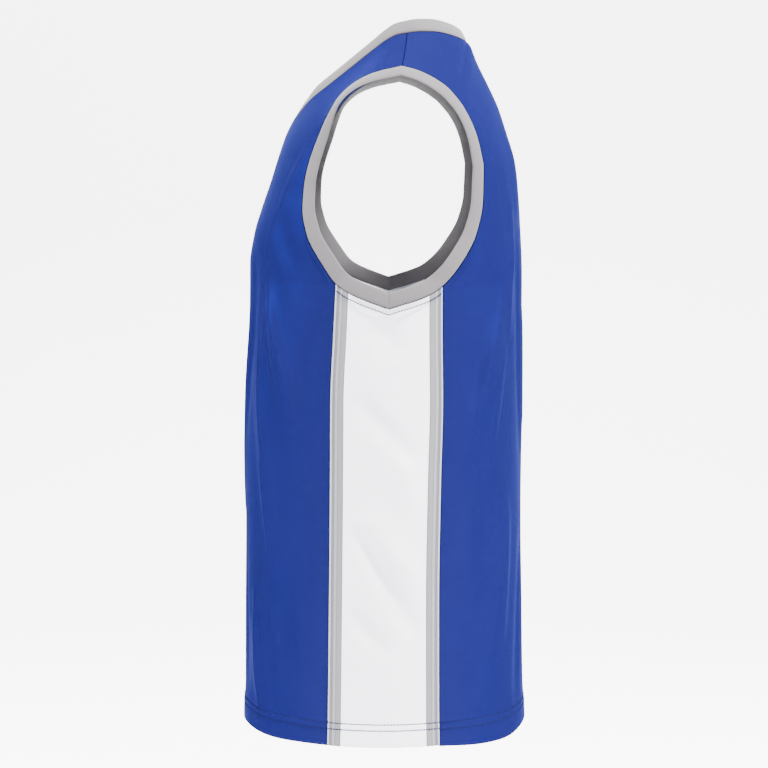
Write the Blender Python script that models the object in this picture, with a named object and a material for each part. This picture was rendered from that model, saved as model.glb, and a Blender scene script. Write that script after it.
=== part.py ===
"""Sleeveless V-neck sports jersey, hollow and upright as if worn.

Units are metres. +Z is up, the front faces -Y and the wearer's left side is +X.
The origin is midway between the neck ends of the two shoulder seams.

Every piece is a thin wall of cloth. The front and back are grids of sections: each
section runs from the centre line, or higher up from the neckline, round the body to
the side seam, or higher up to the armhole. The side panel, its tapes and its piping
fill the space between the two side seams, and the bands stand on the open edges.
"""
import math

import bpy
import numpy as np

# Cut sizes
HEM_Z = -0.755
NECK_HALF_WIDTH = 0.088
V_DEPTH = 0.126
BAND_WIDTH = 0.017
TAPE_WIDTH = 0.0127
PIPING_WIDTH = 0.0023

# Cloth
PANEL_CLOTH = 0.0015
BAND_CLOTH = 0.0020
TAPE_CLOTH = 0.0016
PIPING_CLOTH = 0.0020
SEAM_GAP = 0.0003
TAPE_RISE = 0.0004
PIPING_RISE = 0.0007
BAND_CROWN = 0.0006

# How the bands stand on their edges
ARMHOLE_BAND_LEAN = math.radians(13)
NECK_BAND_RISE_FRONT = math.radians(48)
NECK_BAND_RISE_BACK = math.radians(62)
NECK_MITRE_REACH = 0.090
UNDERARM_MITRE_REACH = 0.035

# Mesh fineness
ROW_STEP = 0.030
ARMHOLE_STEP = 0.016
HALF_COLUMNS = 14
SIDE_COLUMNS = 6
SIDE_ROWS = 18
UNDERARM_STEPS = 3
TINY = 1e-6
PROBE_SHARE = 0.01
PROBE_DROP = 0.005

# Curvature: the side bows out by SIDE_BOW over an arc of twice SIDE_SWEEP, and the
# chest and back fall away gently within RIDGE_ROUNDING of the centre line
SIDE_SWEEP = math.radians(23)
SIDE_BOW = 0.016
RIDGE_ROUNDING = 0.030

# The outward side of the cloth is away from a line at this depth, which turns to face
# upwards above the chest
BODY_MIDDLE_Y = -0.02
CHEST_Z = -0.20

# Sections of the front, left half, from hem to shoulder seam. A section starts at
# height z_in and depth y_in on the centre line or neckline, and ends at x_out, y_out,
# z_out on the side seam or armhole. It is the stretch of an ellipse from turn_in to
# turn_out, in degrees, stretched to those ends.
FRONT_COLUMNS = ("z_in", "y_in", "z_out", "x_out", "y_out", "turn_in", "turn_out")
FRONT = (
    (-0.7550, -0.1813, -0.7550, 0.1895, -0.0852, 0, 67),
    (-0.7380, -0.1808, -0.7380, 0.1890, -0.0848, 0, 67),
    (-0.7150, -0.1795, -0.7150, 0.1882, -0.0845, 0, 67),
    (-0.6000, -0.1792, -0.6000, 0.1882, -0.0832, 0, 67),
    (-0.4700, -0.1786, -0.4700, 0.1885, -0.0820, 0, 67),
    (-0.3900, -0.1771, -0.3900, 0.1893, -0.0815, 0, 67),
    (-0.3130, -0.1737, -0.3130, 0.1900, -0.0780, 0, 67),
    (-0.2655, -0.1732, -0.2655, 0.1895, -0.0757, 0, 66),
    (-0.2490, -0.1731, -0.2483, 0.1830, -0.0883, 0, 62),
    (-0.2170, -0.1680, -0.2146, 0.1695, -0.1067, 0, 56),
    (-0.1900, -0.1600, -0.1880, 0.1610, -0.1115, 0, 52),
    (-0.1620, -0.1503, -0.1621, 0.1570, -0.1098, 0, 49),
    (-0.1260, -0.1388, -0.1380, 0.1580, -0.1045, 0, 46),
    (-0.1050, -0.1305, -0.1220, 0.1605, -0.0990, 4, 46),
    (-0.0880, -0.1197, -0.1080, 0.1638, -0.0933, 9, 47),
    (-0.0710, -0.1050, -0.0960, 0.1670, -0.0880, 14, 48),
    (-0.0540, -0.0835, -0.0833, 0.1710, -0.0812, 18, 50),
    (-0.0370, -0.0615, -0.0720, 0.1750, -0.0742, 22, 52),
    (-0.0200, -0.0395, -0.0615, 0.1790, -0.0645, 26, 54),
    (-0.0074, -0.0221, -0.0520, 0.1833, -0.0520, 29, 56),
    (-0.0018, -0.0105, -0.0435, 0.1873, -0.0335, 32, 58),
    (0.0000, 0.0000, -0.0370, 0.1900, -0.0060, 35, 60),
)

# Sections of the back, left half. x_in is nought up to the back of the neck, where the
# sections leave the centre line and follow the half round of the neckline.
BACK_COLUMNS = ("neck_turn", "z_in", "y_in", "z_out", "x_out", "y_out", "turn_in", "turn_out")
BACK = (
    (0, -0.7550, 0.1325, -0.7550, 0.1895, 0.0345, 0, 67),
    (0, -0.7380, 0.1318, -0.7380, 0.1890, 0.0342, 0, 67),
    (0, -0.7150, 0.1303, -0.7150, 0.1882, 0.0340, 0, 67),
    (0, -0.6000, 0.1285, -0.6000, 0.1882, 0.0338, 0, 67),
    (0, -0.4700, 0.1265, -0.4700, 0.1885, 0.0358, 0, 67),
    (0, -0.3900, 0.1268, -0.3900, 0.1893, 0.0377, 0, 67),
    (0, -0.3130, 0.1280, -0.3130, 0.1900, 0.0370, 0, 67),
    (0, -0.2680, 0.1282, -0.2680, 0.1895, 0.0370, 0, 66),
    (0, -0.2450, 0.1278, -0.2463, 0.1800, 0.0559, 0, 61),
    (0, -0.2130, 0.1262, -0.2130, 0.1655, 0.0736, 0, 55),
    (0, -0.1780, 0.1240, -0.1790, 0.1600, 0.0804, 0, 50),
    (0, -0.1380, 0.1190, -0.1450, 0.1600, 0.0811, 0, 48),
    (0, -0.1080, 0.1107, -0.1280, 0.1630, 0.0783, 0, 47),
    (0, -0.0790, 0.1013, -0.1106, 0.1680, 0.0738, 0, 47),
    (0, -0.0530, 0.0893, -0.0980, 0.1722, 0.0688, 0, 47),
    (0, -0.0290, 0.0775, -0.0860, 0.1762, 0.0628, 0, 47),
    (0, -0.0115, 0.0705, -0.0760, 0.1800, 0.0567, 0, 48),
    (0, -0.0070, 0.0665, -0.0680, 0.1825, 0.0503, 0, 49),
    (22, -0.0055, 0.0617, -0.0600, 0.1850, 0.0430, 8, 50),
    (45, -0.0010, 0.0470, -0.0525, 0.1870, 0.0330, 16, 52),
    (65, 0.0018, 0.0281, -0.0460, 0.1885, 0.0215, 23, 54),
    (80, 0.0015, 0.0115, -0.0405, 0.1895, 0.0080, 30, 57),
    (90, 0.0000, 0.0000, -0.0370, 0.1900, -0.0060, 35, 60),
)

# Both tables' row at the top of the side seam, where the armhole begins
CORNER_ROW = 7

# The top edge of the side panel under the arm: which seam, and its height there
UNDERARM_FRONT_Z = -0.2655
UNDERARM_FRONT_TAPE_Z = -0.2746
UNDERARM_POINT_Z = -0.2913
UNDERARM_BACK_TAPE_Z = -0.2770
UNDERARM_BACK_Z = -0.2680

# Where the hem hangs lower: the piece, the distance round, the half width and the dip
HEM_COLUMNS = ("piece", "around", "width", "dip")
HEM_DIPS = (
    ("front", 0.130, 0.050, 0.0020),
    ("front", -0.120, 0.055, 0.0025),
    ("back", 0.115, 0.060, 0.0065),
    ("back", 0.180, 0.040, 0.0025),
    ("back", -0.110, 0.055, 0.0050),
)
HEM_DIP_REACH = 0.060

# Soft folds. around is the distance round the body from the centre line, positive on
# the wearer's left. A fold runs straight from its top to its foot and fades at both.
FOLD_END_FULLNESS = 0.7
FOLD_EDGE_FULLNESS = 0.5
NECK_CALM_SHARE = 1 / 3
FOLD_COLUMNS = ("piece", "around_top", "z_top", "around_foot", "z_foot", "width", "height")
FOLDS = (
    ("front", 0.108, -0.270, 0.170, -0.415, 0.017, 0.0045),
    ("front", 0.083, -0.330, 0.146, -0.585, 0.019, 0.0045),
    ("front", 0.078, -0.630, 0.118, -0.752, 0.018, 0.0035),
    ("front", 0.185, -0.262, 0.120, -0.190, 0.016, -0.0030),
    ("front", -0.100, -0.255, -0.165, -0.425, 0.018, 0.0045),
    ("front", -0.075, -0.370, -0.135, -0.620, 0.020, 0.0040),
    ("front", -0.095, -0.640, -0.130, -0.752, 0.018, 0.0035),
    ("front", -0.182, -0.262, -0.122, -0.200, 0.016, -0.0030),
    ("back", 0.100, -0.215, 0.122, -0.300, 0.016, 0.0030),
    ("back", 0.118, -0.290, 0.185, -0.450, 0.018, 0.0045),
    ("back", 0.105, -0.490, 0.145, -0.690, 0.019, 0.0040),
    ("back", -0.108, -0.280, -0.178, -0.470, 0.018, 0.0045),
    ("back", -0.110, -0.510, -0.140, -0.720, 0.020, 0.0040),
    ("back", 0.020, -0.300, -0.030, -0.560, 0.026, 0.0030),
)

# Linear RGB of the cloths
BLUE_CLOTH = (0.025, 0.075, 0.35)
WHITE_CLOTH = (0.84, 0.84, 0.87)
GREY_CLOTH = (0.46, 0.45, 0.47)


# ---------------------------------------------------------------- curves
def smooth(t, knots, values):
    """A curve through the values that never swings past them, read at t."""
    knots = np.asarray(knots, float)
    values = np.asarray(values, float)
    step = np.diff(knots)
    rise = np.diff(values) / step
    slope = np.zeros_like(values)
    slope[0], slope[-1] = rise[0], rise[-1]
    turning = rise[:-1] * rise[1:] > 0
    before, after = rise[:-1][turning], rise[1:][turning]
    slope[1:-1][turning] = 2 * before * after / (before + after)
    i = np.clip(np.searchsorted(knots, t, side="right") - 1, 0, len(step) - 1)
    s = (t - knots[i]) / step[i]
    across = step[i]
    return (
        values[i] * (1 + 2 * s) * (1 - s) ** 2
        + slope[i] * across * s * (1 - s) ** 2
        + values[i + 1] * s * s * (3 - 2 * s)
        + slope[i + 1] * across * s * s * (s - 1)
    )


def unit(vectors):
    length = np.linalg.norm(vectors, axis=-1, keepdims=True)
    return vectors / np.maximum(length, 1e-12)


# ---------------------------------------------------------------- panels
def table(rows, columns):
    return {name: np.array([row[i] for row in rows], float) for i, name in enumerate(columns)}


def panel_sections(piece):
    """The table's numbers at every mesh row, from hem to shoulder."""
    front = piece == "front"
    known = table(FRONT, FRONT_COLUMNS) if front else table(BACK, BACK_COLUMNS)
    along = np.arange(len(known["z_in"]), dtype=float)
    outer = np.stack([known[name] for name in ("x_out", "y_out", "z_out")], axis=-1)
    spans = np.linalg.norm(np.diff(outer, axis=0), axis=-1)
    rows = [0.0]
    for i, span in enumerate(spans):
        step = ROW_STEP if i < CORNER_ROW else ARMHOLE_STEP
        steps = max(1, round(span / step))
        rows += [i + (k + 1) / steps for k in range(steps)]
    rows = np.array(rows)
    height = known["z_in"]
    at = np.interp(rows, along, height)
    by_row = {name: smooth(rows, along, values) for name, values in known.items()}
    below = rows <= CORNER_ROW
    straight = slice(0, CORNER_ROW + 1)
    for name in ("y_in", "x_out", "y_out"):
        by_row[name][below] = smooth(at[below], height[straight], known[name][straight])
    by_row["z_in"][below] = at[below]
    by_row["z_out"][below] = at[below]
    if front:
        climb = (by_row["z_in"] + V_DEPTH) / V_DEPTH
        by_row["x_in"] = NECK_HALF_WIDTH * np.clip(climb, 0, None)
    else:
        by_row["x_in"] = NECK_HALF_WIDTH * np.sin(np.radians(by_row["neck_turn"]))
    return by_row


def panel_grid(piece, side):
    """One half of the front or back: rows from hem to shoulder, columns outwards."""
    rows = panel_sections(piece)
    share = np.linspace(0, 1, HALF_COLUMNS + 1)[None, :]
    first = np.radians(rows["turn_in"])[:, None]
    last = np.radians(rows["turn_out"])[:, None]
    turn = first + (last - first) * share
    outwards = (np.sin(turn) - np.sin(first)) / (np.sin(last) - np.sin(first))
    round_off = (np.cos(first) - np.cos(turn)) / (np.cos(first) - np.cos(last))

    def between(start, end, part):
        return rows[start][:, None] + (rows[end] - rows[start])[:, None] * part

    x = between("x_in", "x_out", outwards)
    y = between("y_in", "y_out", round_off)
    fall = np.hypot(x, RIDGE_ROUNDING)
    z = between("z_in", "z_out", (fall - fall[:, :1]) / (fall[:, -1:] - fall[:, :1]))
    return np.stack([side * x, y, z], axis=-1)


def grid_normals(grid, outward):
    """Unit normals of a grid of points, pointing the way outward(points) does."""
    down = np.gradient(grid, axis=0)
    across = np.gradient(grid, axis=1)
    normals = unit(np.cross(across, down))
    facing = np.sum(normals * outward(grid), axis=-1, keepdims=True)
    return np.where(facing < 0, -normals, normals)


def away_from_body(points):
    """Roughly outwards: away from a line that leans with the body's middle."""
    out = points - np.array([0.0, BODY_MIDDLE_Y, 0.0])
    out[..., 2] = np.clip(points[..., 2] - CHEST_Z, 0, None)
    return out


def fold_push(piece, around, z):
    """How far the soft folds lift the cloth at a distance round the body and a height."""
    push = np.zeros_like(z)
    for row in FOLDS:
        fold = dict(zip(FOLD_COLUMNS, row))
        if fold["piece"] != piece:
            continue
        run_around = fold["around_foot"] - fold["around_top"]
        run_z = fold["z_foot"] - fold["z_top"]
        length = math.hypot(run_around, run_z)
        past_around = around - fold["around_top"]
        past_z = z - fold["z_top"]
        along = (past_around * run_around + past_z * run_z) / length**2
        aside = (past_around * run_z - past_z * run_around) / length
        fade = np.sin(np.pi * np.clip(along, 0, 1)) ** FOLD_END_FULLNESS
        push += fold["height"] * fade * np.exp(-((aside / fold["width"]) ** 2))
    return push


def hem_dip(piece, around, z):
    """How far the cloth hangs lower near the hem."""
    near_hem = np.clip(1 - (z - HEM_Z) / HEM_DIP_REACH, 0, 1) ** 2
    dip = np.zeros_like(z)
    for row in HEM_DIPS:
        place = dict(zip(HEM_COLUMNS, row))
        if place["piece"] == piece:
            off = (around - place["around"]) / place["width"]
            dip += place["dip"] * np.exp(-(off**2))
    return dip * near_hem


def distance_round(grid, side):
    """Distance round the body from the centre line, positive on the wearer's left."""
    steps = np.linalg.norm(np.diff(grid[:, :, :2], axis=1), axis=-1)
    along_row = np.cumsum(np.pad(steps, ((0, 0), (1, 0))), axis=1)
    return side * (along_row + np.abs(grid[:, :1, 0]))


def panel_surface(piece, side):
    """Outer points and normals of one half panel, folds included.

    The folds die out towards the side seam, the armhole and the neckline.
    """
    grid = panel_grid(piece, side)
    normals = grid_normals(grid, away_from_body)
    around = distance_round(grid, side)
    share = np.linspace(0, 1, HALF_COLUMNS + 1)
    room = np.where(share < 0.5, 1.0, np.sin(np.pi * share) ** FOLD_EDGE_FULLNESS)
    push = fold_push(piece, around, grid[..., 2]) * room
    neck_rows = np.abs(grid[:, 0, 0]) > TINY
    push[neck_rows] *= np.minimum(1, share / NECK_CALM_SHARE)
    grid = grid + normals * push[..., None]
    grid[..., 2] -= hem_dip(piece, around, grid[..., 2])
    return grid, normals


# ---------------------------------------------------------------- side strips
def side_seam(piece, z):
    """A side seam's points at the heights z, on the wearer's left."""
    rows = table(FRONT, FRONT_COLUMNS) if piece == "front" else table(BACK, BACK_COLUMNS)
    straight = slice(0, CORNER_ROW + 1)
    heights = rows["z_out"][straight]
    x = smooth(z, heights, rows["x_out"][straight])
    y = smooth(z, heights, rows["y_out"][straight])
    return np.stack([x, y, z], axis=-1)


def side_width(z):
    """The distance round the side from seam to seam."""
    chord = np.linalg.norm(side_seam("back", z) - side_seam("front", z), axis=-1)
    return chord * (1 + 8 / 3 * (SIDE_BOW / chord) ** 2)


def side_point(share, z, side):
    """A point of the side at a share of the way from the front seam to the back one."""
    share, z = np.broadcast_arrays(share, z)
    front, back = side_seam("front", z), side_seam("back", z)
    turn = (2 * share - 1) * SIDE_SWEEP
    across = (np.sin(turn) / math.sin(SIDE_SWEEP) + 1) / 2
    bow = (np.cos(turn) - math.cos(SIDE_SWEEP)) / (1 - math.cos(SIDE_SWEEP)) * SIDE_BOW
    point = front + (back - front) * across[..., None]
    point[..., 0] += bow
    point[..., 0] *= side
    return point


TRIM_SHARE = (PIPING_WIDTH + TAPE_WIDTH) / float(side_width(np.array(UNDERARM_POINT_Z)))


def underarm_z(share):
    """Height of the side's top edge at a share of the way from front to back."""
    places = (0, TRIM_SHARE, 0.5, 1 - TRIM_SHARE, 1)
    heights = (
        UNDERARM_FRONT_Z,
        UNDERARM_FRONT_TAPE_Z,
        UNDERARM_POINT_Z,
        UNDERARM_BACK_TAPE_Z,
        UNDERARM_BACK_Z,
    )
    return np.interp(share, places, heights)


def side_strip(first, last, from_seam, columns, side):
    """A strip of the side, its edges at set distances from the front or back seam.

    from_seam is front, back or middle: middle runs from first off the front seam to
    last off the back one. Each pass finds the strip's top at its new place.
    """
    part = np.linspace(0, 1, columns + 1)[None, :]
    rise = np.linspace(0, 1, SIDE_ROWS)[:, None]
    top_share = 0.5 * np.ones_like(part)
    for _ in range(3):
        top = underarm_z(top_share)
        z = HEM_Z + (top - HEM_Z) * rise
        width = side_width(z)
        if from_seam == "front":
            share = (first + (last - first) * part) / width
        elif from_seam == "back":
            share = 1 - (first + (last - first) * part) / width
        else:
            share = first / width + (1 - (first + last) / width) * part
        top_share = share[-1:, :]
    return side_point(share, z, side)


# ---------------------------------------------------------------- solids
def wall(name, outer, inner, material, ring=False):
    """A closed solid between two grids of points; a ring closes on itself by rows."""
    rows, columns = outer.shape[:2]
    count = rows * columns
    points = np.concatenate([outer.reshape(-1, 3), inner.reshape(-1, 3)])

    def at(row, column, layer):
        return layer * count + (row % rows) * columns + column

    faces = []
    last_row = rows if ring else rows - 1
    for r in range(last_row):
        for c in range(columns - 1):
            corners = ((r, c), (r, c + 1), (r + 1, c + 1), (r + 1, c))
            faces.append([at(*corner, 0) for corner in corners])
            faces.append([at(*corner, 1) for corner in reversed(corners)])
        for c in (0, columns - 1):
            edge = [at(r, c, 0), at(r + 1, c, 0), at(r + 1, c, 1), at(r, c, 1)]
            faces.append(edge if c == 0 else edge[::-1])
    if not ring:
        for r in (0, rows - 1):
            for c in range(columns - 1):
                edge = [at(r, c, 0), at(r, c, 1), at(r, c + 1, 1), at(r, c + 1, 0)]
                faces.append(edge if r == 0 else edge[::-1])
    return make_object(name, points, faces, material)


def make_object(name, points, faces, material):
    mesh = bpy.data.meshes.new(name)
    mesh.from_pydata(points.tolist(), [], faces)
    mesh.materials.append(material)
    mesh.validate()
    turn_outwards(mesh)
    mesh.shade_smooth()
    mesh.set_sharp_from_angle(angle=math.radians(40))
    obj = bpy.data.objects.new(name, mesh)
    bpy.context.scene.collection.objects.link(obj)
    return obj


def turn_outwards(mesh):
    """Flip all faces if the closed mesh encloses a negative volume."""
    mesh.calc_loop_triangles()
    points = np.array([v.co[:] for v in mesh.vertices])
    corners = np.array([t.vertices[:] for t in mesh.loop_triangles])
    a, b, c = points[corners[:, 0]], points[corners[:, 1]], points[corners[:, 2]]
    if np.einsum("ij,ij->i", a, np.cross(b, c)).sum() < 0:
        mesh.flip_normals()


def whole_panel(name, piece, material):
    """Front or back: two half grids that share the centre line below the neck."""
    left, left_normals = panel_surface(piece, 1)
    right, right_normals = panel_surface(piece, -1)
    closed = np.abs(left[:, 0, 0]) < TINY
    rows, columns = left.shape[:2]
    middle = (left[:, 0] + right[:, 0]) / 2
    middle_normals = unit(left_normals[:, 0] + right_normals[:, 0])
    for grid, normals, side in ((left, left_normals, 1), (right, right_normals, -1)):
        grid[closed, 0] = middle[closed]
        normals[closed, 0] = middle_normals[closed]
        normals[-1] = shoulder_normals(side)
        grid[-1] += unit(grid[-2] - grid[-1]) * SEAM_GAP / 2
    outer = [left, right]
    inner = [grid - n * PANEL_CLOTH for grid, n in zip(outer, (left_normals, right_normals))]

    points = []
    index = {}
    for layer, grids in enumerate((outer, inner)):
        for half, grid in enumerate(grids):
            for r in range(rows):
                for c in range(columns):
                    if half == 1 and c == 0 and closed[r]:
                        index[layer, half, r, c] = index[layer, 0, r, c]
                        continue
                    index[layer, half, r, c] = len(points)
                    points.append(grid[r, c])

    faces = []
    for half in (0, 1):
        def face(*corners):
            ring = [index[layer, half, r, c] for layer, r, c in corners]
            faces.append(ring if half == 0 else ring[::-1])

        for r in range(rows - 1):
            for c in range(columns - 1):
                face((0, r, c), (0, r, c + 1), (0, r + 1, c + 1), (0, r + 1, c))
                face((1, r, c), (1, r + 1, c), (1, r + 1, c + 1), (1, r, c + 1))
            last = columns - 1
            face((0, r, last), (1, r, last), (1, r + 1, last), (0, r + 1, last))
            if not (closed[r] and closed[r + 1]):
                face((0, r, 0), (0, r + 1, 0), (1, r + 1, 0), (1, r, 0))
        for c in range(columns - 1):
            face((0, 0, c), (1, 0, c), (1, 0, c + 1), (0, 0, c + 1))
            top = rows - 1
            face((0, top, c), (0, top, c + 1), (1, top, c + 1), (1, top, c))
    return make_object(name, np.array(points), faces, material)


def shoulder_normals(side):
    """Normals along the shoulder seam, which the front and the back share."""
    front = grid_normals(panel_grid("front", side), away_from_body)[-1]
    back = grid_normals(panel_grid("back", side), away_from_body)[-1]
    return unit(front + back)


def strip_solid(name, first, last, from_seam, columns, side, cloth, rise, material):
    """A piece of the side: its outer face lifted by rise, its wall cloth thick."""
    grid = side_strip(first, last, from_seam, columns, side)
    normals = grid_normals(grid, away_from_body)
    outer = grid + normals * rise
    return wall(name, outer, outer - normals * cloth, material)


# ---------------------------------------------------------------- bands
def armhole_border(side):
    """The armhole's edge from the shoulder down the front, under the arm and up the back."""
    front, back = panel_grid("front", side), panel_grid("back", side)
    front_normals = grid_normals(front, away_from_body)[:, -1]
    back_normals = grid_normals(back, away_from_body)[:, -1]
    front_edge, back_edge = front[:, -1], back[:, -1]
    front_open = front_edge[:, 2] >= UNDERARM_FRONT_Z - TINY
    back_open = back_edge[:, 2] >= UNDERARM_BACK_Z - TINY
    trim = np.array([PIPING_WIDTH / (PIPING_WIDTH + TAPE_WIDTH), 1.0]) * TRIM_SHARE
    inner = np.linspace(TRIM_SHARE, 0.5, UNDERARM_STEPS + 1)[1:]
    shares = np.concatenate([trim, inner])
    shares = np.concatenate([shares, 1 - shares[-2::-1]])
    under = side_point(shares, underarm_z(shares), side)
    ahead = side_point(shares + PROBE_SHARE, underarm_z(shares), side)
    below = side_point(shares, underarm_z(shares) - PROBE_DROP, side)
    under_normals = unit(np.cross(ahead - under, below - under))
    facing = np.sum(under_normals * away_from_body(under), axis=-1, keepdims=True)
    under_normals = np.where(facing < 0, -under_normals, under_normals)
    points = [front_edge[front_open][::-1], under, back_edge[back_open]]
    normals = [front_normals[front_open][::-1], under_normals, back_normals[back_open]]
    corner = int(front_open.sum()) + len(shares) // 2
    points = np.concatenate(points)[:-1]
    normals = np.concatenate(normals)[:-1]
    normals[0] = shoulder_normals(side)[-1]
    return points, normals, corner


def border_tangents(points):
    return unit(np.roll(points, -1, axis=0) - np.roll(points, 1, axis=0))


def distance_from(points, corner):
    """Distance along a closed border from its corner, the shorter way round."""
    steps = np.linalg.norm(np.roll(points, -1, axis=0) - points, axis=-1)
    ahead = np.concatenate([[0], np.cumsum(np.roll(steps, -corner))[:-1]])
    total = steps.sum()
    return np.roll(np.minimum(ahead, total - ahead), corner)


def mitred_cross(points, cross, corner, width, reach):
    """Vectors from a band's seam to its free edge, slanted near the corner to mitre it."""
    tangents = border_tangents(points)
    arms = []
    count = len(points)
    for way in (1, -1):
        near, far = points[(corner + way) % count], points[(corner + 3 * way) % count]
        arm = unit(far - near)
        arms.append((arm, cross[(corner + 2 * way) % count]))
    between = math.acos(float(np.clip(arms[0][0] @ arms[1][0], -1, 1)))
    slant = width / math.tan(between / 2)
    away = distance_from(points, corner)
    strength = np.clip(1 - away / reach, 0, 1) * slant
    order = (np.arange(count) - corner) % count
    way = np.where(order < count / 2, 1.0, -1.0)[:, None]
    full = cross * width + tangents * way * strength[:, None]
    full[corner] = sum(c * width + arm * slant for arm, c in arms) / 2
    return full


def band_solid(name, points, seam_normals, full, material):
    """A closed band standing on a border, its parts given by the full cross vectors."""
    tangents = border_tangents(points)
    own = unit(np.cross(tangents, full))
    facing = np.sum(own * seam_normals, axis=-1, keepdims=True)
    own = np.where(facing < 0, -own, own)
    gap = SEAM_GAP / BAND_WIDTH
    outer, inner = [], []
    for share, crown in ((gap, 0.0), (0.5, BAND_CROWN), (1.0, 0.0)):
        normals = seam_normals if share == gap else own
        face = points + full * share + own * crown
        outer.append(face)
        inner.append(face - normals * BAND_CLOTH)
    outer, inner = np.stack(outer, axis=1), np.stack(inner, axis=1)
    return wall(name, outer, inner, material, ring=True)


def armhole_band(name, side, material):
    points, normals, corner = armhole_border(side)
    tangents = border_tangents(points)
    into_hole = unit(np.cross(normals, tangents))
    centre = points.mean(axis=0)
    facing = np.sum(into_hole * (centre - points), axis=-1, keepdims=True)
    into_hole = np.where(facing < 0, -into_hole, into_hole)
    lean = ARMHOLE_BAND_LEAN
    cross = into_hole * math.cos(lean) - normals * math.sin(lean)
    full = mitred_cross(points, cross, corner, BAND_WIDTH, UNDERARM_MITRE_REACH)
    return band_solid(name, points, normals, full, material)


def neck_border():
    """The neckline from the V up the left side, round the back and down the right."""
    front_left, back_left = panel_grid("front", 1), panel_grid("back", 1)
    front_rows = front_left[:, 0, 2] >= -V_DEPTH - TINY
    back_rows = np.abs(back_left[:, 0, 0]) > TINY
    back_rows[np.argmax(back_rows) - 1] = True
    front_normals = grid_normals(front_left, away_from_body)[:, 0]
    back_normals = grid_normals(back_left, away_from_body)[:, 0]
    front_normals[-1] = shoulder_normals(1)[0]
    left = np.concatenate([front_left[front_rows, 0], back_left[back_rows, 0][-2::-1]])
    normals = np.concatenate([front_normals[front_rows], back_normals[back_rows][-2::-1]])
    mirror = np.array([-1.0, 1.0, 1.0])
    points = np.concatenate([left, left[-2:0:-1] * mirror])
    normals = np.concatenate([normals, normals[-2:0:-1] * mirror])
    middle = [0, len(left) - 1]
    normals[middle, 0] = 0
    return points, unit(normals)


def neck_band(name, material):
    points, normals = neck_border()
    tangents = border_tangents(points)
    flat = unit(tangents * np.array([1.0, 1.0, 0.0]))
    inward = np.stack([-flat[:, 1], flat[:, 0], np.zeros(len(flat))], axis=-1)
    facing = -np.sum(inward * points, axis=-1, keepdims=True)
    inward = np.where(facing < 0, -inward, inward)
    depth = points[:, 1:2]
    back = (depth - depth.min()) / np.ptp(depth)
    rise = NECK_BAND_RISE_FRONT + (NECK_BAND_RISE_BACK - NECK_BAND_RISE_FRONT) * back
    cross = inward * np.cos(rise) + np.array([0, 0, 1.0]) * np.sin(rise)
    cross = unit(cross - tangents * np.sum(cross * tangents, axis=-1, keepdims=True))
    full = mitred_cross(points, cross, 0, BAND_WIDTH, NECK_MITRE_REACH)
    full[0, 0] = 0
    return band_solid(name, points, normals, full, material)


# ---------------------------------------------------------------- materials
def cloth_material(name, color, roughness):
    material = bpy.data.materials.new(name)
    material.use_nodes = True
    shader = material.node_tree.nodes["Principled BSDF"]
    shader.inputs["Base Color"].default_value = (*color, 1)
    shader.inputs["Roughness"].default_value = roughness
    shader.inputs["Metallic"].default_value = 0
    return material


def clear_scene():
    for obj in list(bpy.data.objects):
        bpy.data.objects.remove(obj)


def build():
    clear_scene()
    blue = cloth_material("blue_cloth", BLUE_CLOTH, 0.6)
    white = cloth_material("white_cloth", WHITE_CLOTH, 0.7)
    grey = cloth_material("grey_trim", GREY_CLOTH, 0.75)

    whole_panel("front", "front", blue)
    whole_panel("back", "back", blue)

    piping_end = SEAM_GAP + PIPING_WIDTH
    tape_start = piping_end + SEAM_GAP
    tape_end = PIPING_WIDTH + TAPE_WIDTH
    white_start = tape_end + SEAM_GAP
    for word, side in (("left", 1), ("right", -1)):
        strip_solid(
            f"side_panel_{word}", white_start, white_start, "middle", SIDE_COLUMNS, side,
            PANEL_CLOTH, 0.0, white,
        )
        for end in ("front", "back"):
            strip_solid(
                f"side_piping_{word}_{end}", SEAM_GAP, piping_end, end, 1, side,
                PIPING_CLOTH, PIPING_RISE, white,
            )
            strip_solid(
                f"side_tape_{word}_{end}", tape_start, tape_end, end, 2, side,
                TAPE_CLOTH, TAPE_RISE, grey,
            )
        armhole_band(f"armhole_band_{word}", side, grey)
    neck_band("neck_band", grey)


build()
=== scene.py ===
"""Looks of the sleeveless V-neck jersey: fine cloth surfaces, seams, stitches and light.

Metres, +Z up, the front faces -Y and the wearer's left side is +X. The sections and
the seams are the solids' own; folds, rolled edges, stitches and knit are added here.
"""
import math

import bpy
import numpy as np
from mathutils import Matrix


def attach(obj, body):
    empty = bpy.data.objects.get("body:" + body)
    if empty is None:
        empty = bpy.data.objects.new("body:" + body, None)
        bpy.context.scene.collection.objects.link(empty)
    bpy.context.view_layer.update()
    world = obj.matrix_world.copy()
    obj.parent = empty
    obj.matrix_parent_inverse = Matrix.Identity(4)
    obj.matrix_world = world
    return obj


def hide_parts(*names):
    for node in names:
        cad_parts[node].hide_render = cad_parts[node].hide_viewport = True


# Cut sizes
HEM_Z = -0.755
NECK_HALF_WIDTH = 0.088
V_DEPTH = 0.126
BAND_WIDTH = 0.017
TAPE_WIDTH = 0.0127
PIPING_WIDTH = 0.0023
SEAM_GAP = 0.0003

# Cloth
PANEL_CLOTH = 0.0012
BAND_CLOTH = 0.0020
TAPE_CLOTH = 0.0013
PIPING_CLOTH = 0.0020
TAPE_RISE = 0.0003

# How the bands stand on their edges
ARMHOLE_BAND_LEAN = math.radians(13)
NECK_BAND_RISE_FRONT = math.radians(48)
NECK_BAND_RISE_BACK = math.radians(62)
NECK_MITRE_REACH = 0.090
UNDERARM_MITRE_REACH = 0.035

# Curvature
SIDE_SWEEP = math.radians(23)
SIDE_BOW = 0.016
RIDGE_ROUNDING = 0.030
BODY_MIDDLE_Y = -0.02
CHEST_Z = -0.20

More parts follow.
